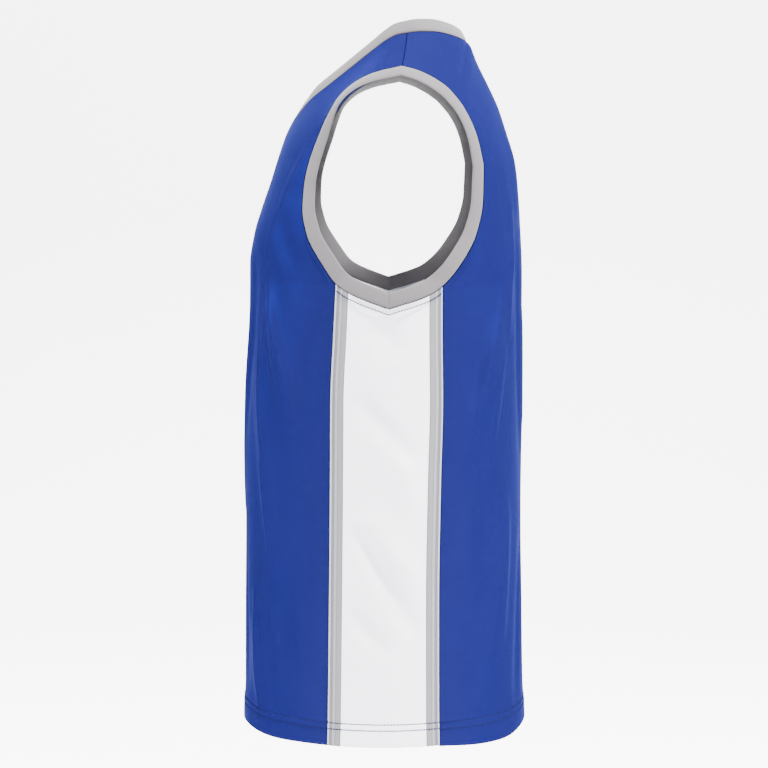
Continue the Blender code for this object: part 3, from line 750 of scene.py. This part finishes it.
def strip_layers(grid, relief, cloth, seed):
    """Outer and inner points of a strip; relief is its height over the base surface."""
    normals = grid_normals(grid)
    height = grid[..., 2] - HEM_Z
    low = relief + hem_relief(height, run_length(grid, axis=1), seed)
    deeper, edge = hem_inner(height)
    outer = grid + normals * (low - edge)[..., None]
    inner = grid + normals * (np.minimum(low, 0) - cloth - deeper)[..., None]
    return outer, inner, normals


# ---------------------------------------------------------------- meshes
def mesh_object(name, points, faces, materials, face_material=None, cloth=None):
    mesh = bpy.data.meshes.new(name)
    mesh.from_pydata(np.asarray(points).tolist(), [], np.asarray(faces).tolist())
    for material in materials:
        mesh.materials.append(material)
    if face_material is not None:
        mesh.polygons.foreach_set("material_index", np.asarray(face_material, dtype=np.int32))
    if cloth is not None:
        layer = mesh.uv_layers.new(name="cloth")
        corner = np.zeros(len(mesh.loops), dtype=np.int32)
        mesh.loops.foreach_get("vertex_index", corner)
        layer.data.foreach_set("uv", np.asarray(cloth)[corner].ravel().astype(np.float32))
    turn_outwards(mesh)
    mesh.shade_smooth()
    obj = bpy.data.objects.new(name, mesh)
    bpy.context.scene.collection.objects.link(obj)
    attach(obj, "root")
    return obj


def turn_outwards(mesh):
    """Flip all faces if the closed mesh encloses a negative volume."""
    mesh.calc_loop_triangles()
    points = np.zeros(len(mesh.vertices) * 3)
    mesh.vertices.foreach_get("co", points)
    points = points.reshape(-1, 3)
    corners = np.zeros(len(mesh.loop_triangles) * 3, dtype=np.int32)
    mesh.loop_triangles.foreach_get("vertices", corners)
    a, b, c = points[corners.reshape(-1, 3).T]
    if np.einsum("ij,ij->i", a, np.cross(b, c)).sum() < 0:
        mesh.flip_normals()


def grid_faces(index, flip=False):
    """Quads of a grid of vertex numbers."""
    quads = np.stack([index[:-1, :-1], index[:-1, 1:], index[1:, 1:], index[1:, :-1]], axis=-1)
    quads = quads.reshape(-1, 4)
    return quads[:, ::-1] if flip else quads


def rim_faces(outer_edge, inner_edge, flip=False):
    """Quads that join an outer edge's vertices to the inner ones."""
    quads = np.stack([outer_edge[:-1], inner_edge[:-1], inner_edge[1:], outer_edge[1:]], axis=-1)
    return quads[:, ::-1] if flip else quads


def compact(points, faces, *extras):
    """Drop the points that no face uses."""
    used, faces = np.unique(faces, return_inverse=True)
    return (points[used], faces.reshape(-1, 4), *(extra[used] for extra in extras))


def panel_object(name, halves, materials):
    """Front or back: two half grids that share the centre line below the neck."""
    left, right = halves
    closed = np.abs(left["base"][:, 0, 0]) < TINY
    for layer in ("outer", "inner"):
        middle = (left[layer][:, 0] + right[layer][:, 0]) / 2
        middle[:, 0] = 0
        for half in halves:
            half[layer][closed, 0] = middle[closed]
    rows, columns = left["outer"].shape[:2]
    count = rows * columns
    points, cloth, index = [], [], {}
    for n, (layer, half) in enumerate((a, b) for a in ("outer", "inner") for b in (0, 1)):
        points.append(halves[half][layer].reshape(-1, 3))
        cloth.append(halves[half]["cloth"].reshape(-1, 2))
        index[layer, half] = n * count + np.arange(count).reshape(rows, columns)
    faces, slots = [], []

    def add(quads, slot):
        faces.append(quads)
        slots.append(np.full(len(quads), slot))

    for layer, flip in (("outer", False), ("inner", True)):
        index[layer, 1][closed, 0] = index[layer, 0][closed, 0]
        add(grid_faces(index[layer, 0], flip), int(flip))
        add(grid_faces(index[layer, 1], not flip), int(flip))
    open_rows = np.nonzero(~closed)[0]
    neck = slice(open_rows[0] - 1, None)
    for half in (0, 1):
        outer, inner = index["outer", half], index["inner", half]
        turned = half == 1
        add(rim_faces(outer[:, -1], inner[:, -1], turned), 0)
        add(rim_faces(outer[neck, 0], inner[neck, 0], not turned), 0)
        add(rim_faces(outer[0], inner[0], not turned), 0)
        add(rim_faces(outer[-1], inner[-1], turned), 0)
    points, faces, cloth = compact(
        np.concatenate(points), np.concatenate(faces), np.concatenate(cloth)
    )
    return mesh_object(name, points, faces, materials, np.concatenate(slots), cloth)


def strip_object(name, outer, inner, materials, column_slots, flow):
    """A closed strip between two grids; column_slots gives each column of faces its finish."""
    rows, columns = outer.shape[:2]
    count = rows * columns
    out = np.arange(count).reshape(rows, columns)
    into = out + count
    slots = np.zeros(columns - 1, dtype=int) if column_slots is None else np.array(column_slots)
    faces = [
        grid_faces(out),
        grid_faces(into, True),
        rim_faces(out[:, 0], into[:, 0], True),
        rim_faces(out[:, -1], into[:, -1]),
        rim_faces(out[0], into[0]),
        rim_faces(out[-1], into[-1], True),
    ]
    face_slots = [
        np.tile(slots, rows - 1),
        np.tile(slots, rows - 1),
        np.full(rows - 1, slots[0]),
        np.full(rows - 1, slots[-1]),
        slots,
        slots,
    ]
    points = np.concatenate([outer.reshape(-1, 3), inner.reshape(-1, 3)])
    cloth = np.tile(flow.reshape(-1, 2), (2, 1))
    return mesh_object(
        name, points, np.concatenate(faces), materials, np.concatenate(face_slots), cloth
    )


# ---------------------------------------------------------------- bands
def armhole_border(halves, side):
    """The armhole's edge from the shoulder down the front, under the arm and up the back."""
    shares = np.linspace(0, 1, 61)
    heights = underarm_z(shares)
    under = side_point(shares, heights, side)
    under_normals = side_normals(under, shares, heights, side)
    parts, normals = [], []
    for piece, half in halves.items():
        edge = half["base"][:, -1]
        beyond = edge[:, 2] > UNDERARM_SEAM_Z[piece] + TINY
        parts.append(edge[beyond])
        normals.append(half["normals"][:, -1][beyond])
    points = np.concatenate([parts[0][::-1], under, parts[1][:-1]])
    normals = np.concatenate([normals[0][::-1], under_normals, normals[1][:-1]])
    return points, normals, len(parts[0]) + len(shares) // 2


def neck_border(halves_left):
    """The neckline from the V up the left side, round the back and down the right."""
    front, back = halves_left["front"], halves_left["back"]
    front_rows = front["base"][:, 0, 2] >= -V_DEPTH - TINY
    back_rows = np.abs(back["base"][:, 0, 0]) > TINY
    back_rows[np.argmax(back_rows) - 1] = True
    left = np.concatenate(
        [front["base"][front_rows, 0], back["base"][back_rows, 0][-2::-1]]
    )
    normals = np.concatenate(
        [front["normals"][front_rows, 0], back["normals"][back_rows, 0][-2::-1]]
    )
    mirror = np.array([-1.0, 1.0, 1.0])
    points = np.concatenate([left, left[-2:0:-1] * mirror])
    normals = np.concatenate([normals, normals[-2:0:-1] * mirror])
    normals[[0, len(left) - 1], 0] = 0
    return points, unit(normals)


def resample(points, normals, corner):
    """A closed border at even steps, finer at its corner, which comes first."""
    loop, loop_normals = (closed(np.roll(v, -corner, axis=0)) for v in (points, normals))
    along = run_length(loop)
    total = along[-1]
    near = np.array(CORNER_STEPS)
    even = np.linspace(CORNER_REACH, total - CORNER_REACH, round(total / BAND_STEP))
    at = np.concatenate([[0.0], near, even, total - near[::-1]])
    return read_along(at, along, loop), unit(read_along(at, along, loop_normals)), at, total


def ease(values, kept, passes):
    """Smooth a closed run of vectors, leaving those in kept as they are."""
    for _ in range(passes):
        eased = (np.roll(values, 1, axis=0) + 2 * values + np.roll(values, -1, axis=0)) / 4
        values = np.where(kept[:, None], values, eased)
    return values


def border_tangents(points):
    return unit(np.roll(points, -1, axis=0) - np.roll(points, 1, axis=0))


def mitred_cross(points, cross, at, total, reach):
    """Vectors from a band's seam to its free edge, slanted near the first point to mitre it."""
    arms = []
    for way in (1, -1):
        arm = unit(points[way * MITRE_FAR] - points[way * MITRE_NEAR])
        arms.append((arm, cross[way * MITRE_USED]))
    between = math.acos(float(np.clip(arms[0][0] @ arms[1][0], -1, 1)))
    slant = BAND_WIDTH / math.tan(between / 2)
    strength = np.clip(1 - np.minimum(at, total - at) / reach, 0, 1) * slant
    way = np.where(at < total / 2, 1.0, -1.0)[:, None]
    full = cross * BAND_WIDTH + border_tangents(points) * way * strength[:, None]
    full[0] = sum(c * BAND_WIDTH + arm * slant for arm, c in arms) / 2
    return full


# A band's cross-section: the way across it as a share of its width, and the height of
# its outer face; the inner face follows at its cloth's depth
BAND_PROFILE = (
    (0.000, -0.0010),
    (0.020, -0.0003),
    (0.060, 0.0003),
    (0.120, 0.0006),
    (0.250, 0.0009),
    (0.500, 0.0010),
    (0.700, 0.0008),
    (0.860, 0.0005),
    (0.940, 0.0002),
    (0.980, -0.0003),
    (1.000, -0.0010),
)


def band_object(name, node, border, cross, material, reach, seed):
    """A closed band standing on a border, turned over at its free edge."""
    points, seam_normals, at, total = border
    full = mitred_cross(points, cross, at, total, reach)
    own = faced(unit(np.cross(border_tangents(points), full)), seam_normals)
    groove = MITRE_GROOVE * bell(np.minimum(at, total - at), MITRE_GROOVE)
    wave = BAND_WAVE * waver(at, seed)
    outer, inner, flow = [], [], []
    for share, height in BAND_PROFILE:
        spot = SEAM_GAP / BAND_WIDTH + share * (1 - SEAM_GAP / BAND_WIDTH)
        lift = height - groove + wave * (1 - (2 * share - 1) ** 2)
        outer.append(points + full * spot + own * lift[:, None])
        depth = -BAND_CLOTH + BAND_INNER_SHARE * (BAND_TOP - height)
        inner.append(points + full * spot + own * (depth + groove - BAND_INNER_GAP)[:, None])
        flow.append(np.stack([at, np.full_like(at, share * BAND_WIDTH)], axis=-1))
    ring = np.concatenate([np.stack(outer, axis=1), np.stack(inner, axis=1)[:, ::-1]], axis=1)
    flow = np.stack(flow, axis=1)
    flow = np.concatenate([flow, flow[:, ::-1]], axis=1)
    rows, columns = ring.shape[:2]
    index = np.arange(rows * columns).reshape(rows, columns)
    index = np.concatenate([index, index[:1]])
    index = np.concatenate([index, index[:, :1]], axis=1)
    band = mesh_object(
        name, ring.reshape(-1, 3), grid_faces(index), [material], None, flow.reshape(-1, 2)
    )
    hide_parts(node)


def armhole_band(word, halves, side, material):
    border = resample(*armhole_border(halves, side))
    points, normals, at, total = border
    normals = ease(normals, np.zeros(len(at), bool), 6)
    tangents = border_tangents(points)
    into_hole = faced(unit(np.cross(normals, tangents)), points.mean(axis=0) - points)
    cross = into_hole * math.cos(ARMHOLE_BAND_LEAN) - normals * math.sin(ARMHOLE_BAND_LEAN)
    border = (points, normals, at, total)
    node = f"armhole_band_{word}"
    band_object(f"rib_armhole_{word}", node, border, cross, material, UNDERARM_MITRE_REACH, 5 + side)
    return border


def neck_band(halves_left, material):
    border = resample(*neck_border(halves_left), 0)
    points, _, at, total = border
    tangents = border_tangents(points)
    flat = unit(tangents * np.array([1.0, 1.0, 0.0]))
    inward = np.stack([-flat[:, 1], flat[:, 0], np.zeros(len(flat))], axis=-1)
    inward = faced(inward, -points)
    depth = points[:, 1:2]
    back = (depth - depth.min()) / np.ptp(depth)
    rise = NECK_BAND_RISE_FRONT + (NECK_BAND_RISE_BACK - NECK_BAND_RISE_FRONT) * back
    cross = inward * np.cos(rise) + np.array([0, 0, 1.0]) * np.sin(rise)
    cross = unit(cross - tangents * np.sum(cross * tangents, axis=-1, keepdims=True))
    kept = np.minimum(at, total - at) < NECK_MITRE_KEPT
    cross = unit(ease(cross, kept, 12))
    band_object("rib_neck", "neck_band", border, cross, material, NECK_MITRE_REACH, 9)
    return border


# ---------------------------------------------------------------- stitches
def stitch_row(name, path, normals, material, radius=THREAD_RADIUS, gap=STITCH_GAP, spare=0.0):
    """Stitches laid end to end along a path on the cloth."""
    along = run_length(path)
    count = int((along[-1] - 2 * spare) // (STITCH_LENGTH + gap))
    turn = np.arange(STITCH_SIDES) * 2 * np.pi / STITCH_SIDES
    points, faces = [], []
    for i in range(count):
        start = spare + i * (STITCH_LENGTH + gap)
        base = len(points) * STITCH_SIDES
        for part, lift, fat in STITCH_SHAPE:
            at = start + part * STITCH_LENGTH
            normal = unit(read_along(at, along, normals))
            ahead, behind = (read_along(at + way * 0.0005, along, path) for way in (1, -1))
            across = unit(np.cross(unit(ahead - behind), normal))
            centre = read_along(at, along, path) + normal * radius * lift
            points.append(
                centre
                + across * (np.cos(turn) * radius * fat)[:, None]
                + normal * (np.sin(turn) * radius * fat)[:, None]
            )
        for ring in range(len(STITCH_SHAPE) - 1):
            first = base + ring * STITCH_SIDES
            for k in range(STITCH_SIDES):
                a, b = first + k, first + (k + 1) % STITCH_SIDES
                faces.append((a, b, b + STITCH_SIDES, a + STITCH_SIDES))
        last = base + (len(STITCH_SHAPE) - 1) * STITCH_SIDES
        faces += [tuple(base + k for k in cap) for cap in ((3, 2, 1, 0), (5, 4, 3, 0))]
        faces += [tuple(last + k for k in cap) for cap in ((0, 1, 2, 3), (0, 3, 4, 5))]
    row = mesh_object(name, np.concatenate(points), faces, [material])


def painted_seam_shadow_row(name, path, normals, material, spare=0.0):
    """A dark cord deep in a seam, its stitches end to end without gaps: painted seam shadow."""
    path = path - normals * SEAM_SHADOW_CORD_DEPTH
    stitch_row(name, path, normals, material, SEAM_SHADOW_CORD_RADIUS, 0.0, spare)


# ---------------------------------------------------------------- materials
def finish(name, color, roughness, looks):
    """A principled material; looks holds what its other sockets are set to."""
    material = bpy.data.materials.new(name)
    material.use_nodes = True
    shader = material.node_tree.nodes["Principled BSDF"]
    values = {"Base Color": (*color, 1), "Roughness": roughness, "Metallic": 0, **looks}
    for socket, value in values.items():
        shader.inputs[socket].default_value = value
    return material


def add_knit(material, color, pitch, relief, mottle):
    """A knit's rows and columns as bump, and a slight unevenness of colour."""
    tree = material.node_tree
    shader = tree.nodes["Principled BSDF"]
    link = tree.links.new
    place = tree.nodes.new("ShaderNodeUVMap")
    place.uv_map = "cloth"
    both = tree.nodes.new("ShaderNodeMath")
    both.operation = "MULTIPLY"
    for k, (direction, size) in enumerate((("X", pitch), ("Y", pitch * ROW_TO_COLUMN))):
        wave = tree.nodes.new("ShaderNodeTexWave")
        wave.bands_direction = direction
        wave.inputs["Scale"].default_value = math.pi / 10 / size
        link(place.outputs["UV"], wave.inputs["Vector"])
        link(wave.outputs["Fac"], both.inputs[k])
    bump = tree.nodes.new("ShaderNodeBump")
    bump.inputs["Strength"].default_value = relief
    bump.inputs["Distance"].default_value = KNIT_RELIEF
    link(both.outputs["Value"], bump.inputs["Height"])
    link(bump.outputs["Normal"], shader.inputs["Normal"])

    spot = tree.nodes.new("ShaderNodeTexCoord")
    noise = tree.nodes.new("ShaderNodeTexNoise")
    noise.inputs["Scale"].default_value = 30
    noise.inputs["Detail"].default_value = 5
    link(spot.outputs["Object"], noise.inputs["Vector"])
    blend = tree.nodes.new("ShaderNodeMix")
    blend.data_type = "RGBA"
    blend.inputs["A"].default_value = (*(c * (1 - mottle) for c in color), 1)
    blend.inputs["B"].default_value = (*(min(1, c * (1 + mottle)) for c in color), 1)
    link(noise.outputs["Fac"], blend.inputs["Factor"])
    link(blend.outputs["Result"], shader.inputs["Base Color"])


def blue_knit(name, color):
    looks = {
        "Specular IOR Level": 0.0,
        "Metallic": 0.42,
        "Specular Tint": (0.02, 0.05, 0.30, 1),
        "Sheen Weight": 0.05,
        "Sheen Roughness": 0.35,
        "Sheen Tint": (0.10, 0.14, 0.55, 1),
    }
    material = finish(name, color, 0.44, looks)
    add_knit(material, color, 0.0011, 0.25, 0.05)
    return material


def matte_knit(name, color, pitch, relief):
    looks = {"Specular IOR Level": 0.12, "Sheen Weight": 0.04, "Sheen Roughness": 0.5}
    material = finish(name, color, 0.72, looks)
    add_knit(material, color, pitch, relief, 0.02)
    return material


def thread(name, color):
    return finish(name, color, 0.6, {"Specular IOR Level": 0.0})


# ---------------------------------------------------------------- pieces
def make_panels(blue, blue_inside):
    halves = {}
    for piece in ("front", "back"):
        for side in (1, -1):
            halves[piece, side] = panel_half(piece, side)
    for piece in ("front", "back"):
        pair = [halves[piece, 1], halves[piece, -1]]
        panel = panel_object(f"cloth_{piece}", pair, [blue, blue_inside])
        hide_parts(piece)
    return halves


# Across the tape from the piping: share of its width, its height, and which grey each
# stretch up to the next column has: 0 its own, 1 painted shade in dips, 2 painted highlight on the
# ridge
TAPE_PROFILE = (
    (0.00, -0.0004, 1),
    (0.03, 0.0000, 1),
    (0.08, -0.0001, 1),
    (0.14, -0.0003, 1),
    (0.20, -0.0003, 1),
    (0.26, 0.0000, 2),
    (0.32, 0.0002, 2),
    (0.40, 0.0003, 2),
    (0.47, 0.0001, 0),
    (0.52, -0.0001, 1),
    (0.58, 0.0001, 0),
    (0.70, 0.0001, 0),
    (0.84, 0.0001, 0),
    (0.93, 0.0000, 0),
    (0.98, -0.0002, 0),
    (1.00, -0.0005, 0),
)

# Across the piping: a rounded cord
PIPING_PROFILE = (
    (0.00, -0.0004),
    (0.08, 0.0002),
    (0.25, 0.0006),
    (0.50, 0.0008),
    (0.75, 0.0006),
    (0.92, 0.0002),
    (1.00, -0.0004),
)


def side_piece(name, node, layers, materials, slots, grid, share):
    """A piece of the side: its mesh, the solid that it replaces and its material slot."""
    flow = np.stack([share * width_at(HEM_Z), grid[..., 2]], axis=-1)
    piece = strip_object(name, *layers[:2], materials, slots, flow)
    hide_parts(node)
    return piece


def trim(kind, node, slot, side, word, end, span, profile, rise, cloth, materials):
    """A tape or piping, between two distances from its seam."""
    part, heights, *tape_greys_with_painted_light = zip(*profile)
    grid, share = side_strip(*span, end, part, side)
    relief = (np.array(heights)[None, :] + rise) * np.ones_like(share)
    layers = strip_layers(grid, relief, cloth, 3 + side + (end == "back"))
    slots = tape_greys_with_painted_light[0][:-1] if tape_greys_with_painted_light else None
    name = f"{kind}_{word}_{end}"
    piece = side_piece(name, f"{node}_{word}_{end}", layers, materials, slots, grid, share)
    return piece, (layers[0], layers[2])


def make_side(side, word, white, tape_greys_with_painted_light, piping):
    """The side's pieces; returns their outer faces and normals for the rows of the hem."""
    piping_span = (SEAM_GAP, SEAM_GAP + PIPING_WIDTH)
    tape_span = (piping_span[1] + SEAM_GAP, PIPING_WIDTH + TAPE_WIDTH)
    made = {}
    for end in ("front", "back"):
        place = (side, word, end)
        cord, made["piping", end] = trim(
            "cord", "side_piping", "piping", *place,
            piping_span, PIPING_PROFILE, 0.0, PIPING_CLOTH, [piping],
        )
        strip, made["tape", end] = trim(
            "tape", "side_tape", "grey_trim", *place,
            tape_span, TAPE_PROFILE, TAPE_RISE, TAPE_CLOTH, tape_greys_with_painted_light,
        )

    white_start = tape_span[1] + SEAM_GAP
    grid, share = side_strip(white_start, white_start, "middle", white_columns(), side)
    layers = strip_layers(grid, white_relief(grid, share, side), PANEL_CLOTH, 6 + side)
    name, node = f"cloth_side_{word}", f"side_panel_{word}"
    panel = side_piece(name, node, layers, [white], None, grid, share)
    made["white", "middle"] = (layers[0], layers[2])
    return made


def white_columns():
    edge = np.array(SIDE_EDGE_SHARES)
    middle = np.linspace(SIDE_FIRST_SHARE, 1 - SIDE_FIRST_SHARE, SIDE_COLUMNS)
    return np.concatenate([edge, middle, 1 - edge[::-1]])


def white_relief(grid, share, side):
    """The white panel's folds, its raised seam edges and its hollow under the arm."""
    in_row = run_length(grid, axis=1)
    to_edge = np.minimum(in_row, in_row[:, -1:] - in_row)
    z = grid[..., 2]
    push = fold_push(SIDE_FOLDS[side], share, z, width_at(HEM_Z))
    push *= np.clip(to_edge / SIDE_FOLD_INSET, 0, 1)
    below = np.clip((underarm_z(share) - z) / UNDERARM_HOLLOW_DROP, 0, None)
    hollow = below * np.exp(1 - below) * np.clip(to_edge / HOLLOW_INSET, 0, 1)
    push -= UNDERARM_HOLLOW_DEPTH * hollow
    push += WELT_HEIGHT * bell(to_edge - WELT_INSET, WELT_WIDTH)
    push -= rounded_edge(to_edge, *SIDE_ROUNDING)
    push += seam_pucker(to_edge, z, 4 + side, *SIDE_PUCKER)
    return push


def hem_chain(halves, sides, height):
    """The closed line round the hem at a height, with its normals."""
    order = (
        ("piping", "front", 1),
        ("tape", "front", 1),
        ("white", "middle", 1),
        ("tape", "back", -1),
        ("piping", "back", -1),
    )
    points, normals = [], []
    for side in (1, -1):
        front, back = halves["front", side], halves["back", side]
        stretches = [(front["base"], front["outer"], front["normals"], 1)]
        for kind, end, way in order:
            outer, own = sides[side][kind, end]
            stretches.append((outer, outer, own, way))
        stretches.append((back["base"], back["outer"], back["normals"], -1))
        run, out = [], []
        for grid, outer, own, way in stretches:
            row = int(np.argmin(np.abs(grid[:, 0, 2] - (HEM_Z + height))))
            run.append(outer[row][::way])
            out.append(own[row][::way])
        points.append(np.concatenate(run)[::side])
        normals.append(np.concatenate(out)[::side])
    return np.concatenate(points), np.concatenate(normals)


def topstitch_chain(side):
    """The row of stitches under the arm, a little below the band's seam."""
    shares = np.linspace(*TOPSTITCH_SHARES, 80)
    z = underarm_z(shares) - TOPSTITCH_INSET
    points = side_point(shares, z, side)
    normals = side_normals(points, shares, z, side)
    return points + normals * THREAD_LIFT, normals


# ---------------------------------------------------------------- studio
def make_studio():
    glow = {
        "Specular IOR Level": 0.1,
        "Emission Color": (1, 1, 1, 1),
        "Emission Strength": 0.8,
    }
    white = finish("studio_white", STUDIO, 0.9, glow)
    profile = [(FLOOR_FRONT, FLOOR_Z)]
    profile += [
        (FLOOR_BACK - WALL_BEND * math.sin(t), FLOOR_Z + WALL_BEND * (1 - math.cos(t)))
        for t in np.linspace(0, math.pi / 2, 24)
    ]
    profile.append((FLOOR_BACK - WALL_BEND, WALL_TOP))
    points = [(x, y, z) for x, z in profile for y in (-FLOOR_REACH, FLOOR_REACH)]
    faces = [(2 * i, 2 * i + 1, 2 * i + 3, 2 * i + 2) for i in range(len(profile) - 1)]
    mesh = bpy.data.meshes.new("studio_floor")
    mesh.from_pydata(points, [], faces)
    mesh.materials.append(white)
    mesh.shade_smooth()
    floor = bpy.data.objects.new("studio_floor", mesh)
    bpy.context.scene.collection.objects.link(floor)


def area_light(name, place, size, power, target):
    light = bpy.data.lights.new(name, "AREA")
    light.shape = "RECTANGLE"
    light.size, light.size_y = size
    light.energy = power
    lamp = bpy.data.objects.new(name, light)
    lamp.location = place
    aim = np.array(target, float) - np.array(place, float)
    yaw = math.atan2(aim[1], aim[0])
    pitch = math.atan2(aim[2], math.hypot(aim[0], aim[1]))
    lamp.rotation_euler = (math.pi / 2 + pitch, 0, yaw - math.pi / 2)
    bpy.context.scene.collection.objects.link(lamp)


def make_lights():
    for row in LIGHTS:
        area_light(*row)
    world = bpy.data.worlds.new("studio")
    bpy.context.scene.world = world
    world.use_nodes = True
    sky = world.node_tree.nodes["Background"]
    sky.inputs["Color"].default_value = (*SKY, 1)
    sky.inputs["Strength"].default_value = SKY_STRENGTH


def make_camera():
    camera = bpy.data.cameras.new("camera")
    camera.lens = CAMERA_LENS_MM
    camera.sensor_width = CAMERA_SENSOR_MM
    holder = bpy.data.objects.new("camera", camera)
    holder.location = CAMERA_PLACE
    holder.rotation_euler = (math.pi / 2 - CAMERA_TILT, 0, math.pi / 2)
    bpy.context.scene.collection.objects.link(holder)
    bpy.context.scene.camera = holder


# ---------------------------------------------------------------- scene
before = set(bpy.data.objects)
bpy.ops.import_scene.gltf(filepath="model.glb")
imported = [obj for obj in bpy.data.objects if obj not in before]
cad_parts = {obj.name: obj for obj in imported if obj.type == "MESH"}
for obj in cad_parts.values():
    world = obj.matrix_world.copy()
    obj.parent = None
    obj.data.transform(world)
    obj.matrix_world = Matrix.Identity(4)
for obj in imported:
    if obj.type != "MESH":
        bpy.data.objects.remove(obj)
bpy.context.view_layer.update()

make_camera()
make_studio()
make_lights()

blue = blue_knit("blue_knit", BLUE)
blue_inside = blue_knit("blue_knit_inside", BLUE_INSIDE)
white = matte_knit("white_knit", WHITE, 0.0011, 0.18)
# The tape's own grey, a darker copy as painted shade in its dips and a lighter copy as painted
# highlight on its ridge
tape_greys_with_painted_light = [
    matte_knit(name, color, 0.0009, 0.25)
    for name, color in (
        ("grey_tape", TAPE_GREY),
        ("grey_tape_painted_shade", TAPE_PAINTED_SHADE),
        ("grey_tape_painted_highlight", TAPE_PAINTED_HIGHLIGHT),
    )
]
band_grey = matte_knit("grey_band", BAND_GREY, 0.0009, 0.22)
piping = matte_knit("piping_satin", PIPING, 0.0008, 0.15)
navy_thread = thread("navy_thread", THREAD)
# Painted seam shadow: a near-black cord laid deep in the seams
painted_seam_shadow_cord = thread("painted_seam_shadow_cord", PAINTED_SEAM_SHADOW)

halves = make_panels(blue, blue_inside)
sides = {}
for word, side in (("left", 1), ("right", -1)):
    sides[side] = make_side(side, word, white, tape_greys_with_painted_light, piping)
    own = {piece: halves[piece, side] for piece in ("front", "back")}
    points, normals, *_ = armhole_band(word, own, side, band_grey)
    # Painted seam shadow along the armhole, side and shoulder seams
    painted_seam_shadow_row(f"seam_shadow_armhole_{word}", closed(points), closed(normals), painted_seam_shadow_cord)
    for piece, half in own.items():
        low = half["base"][:, -1, 2] <= UNDERARM_SEAM_Z[piece] + TINY
        seam, out = half["base"][low, -1], half["normals"][low, -1]
        painted_seam_shadow_row(f"seam_shadow_side_{word}_{piece}", seam, out, painted_seam_shadow_cord, SEAM_SHADOW_SIDE_SPARE)
    seam, out = own["front"]["base"][-1], own["front"]["normals"][-1]
    painted_seam_shadow_row(f"seam_shadow_shoulder_{word}", seam, out, painted_seam_shadow_cord, SEAM_SHADOW_SHOULDER_SPARE)
    stitch_row(f"topstitch_{word}", *topstitch_chain(side), navy_thread)
points, normals, *_ = neck_band({piece: halves[piece, 1] for piece in ("front", "back")}, band_grey)
# Painted seam shadow along the neckline's seam
painted_seam_shadow_row("seam_shadow_neck", closed(points), closed(normals), painted_seam_shadow_cord)
for number, height in enumerate(HEM_ROWS):
    stitch_row(f"hem_stitches_{number + 1}", *hem_chain(halves, sides, height), navy_thread)
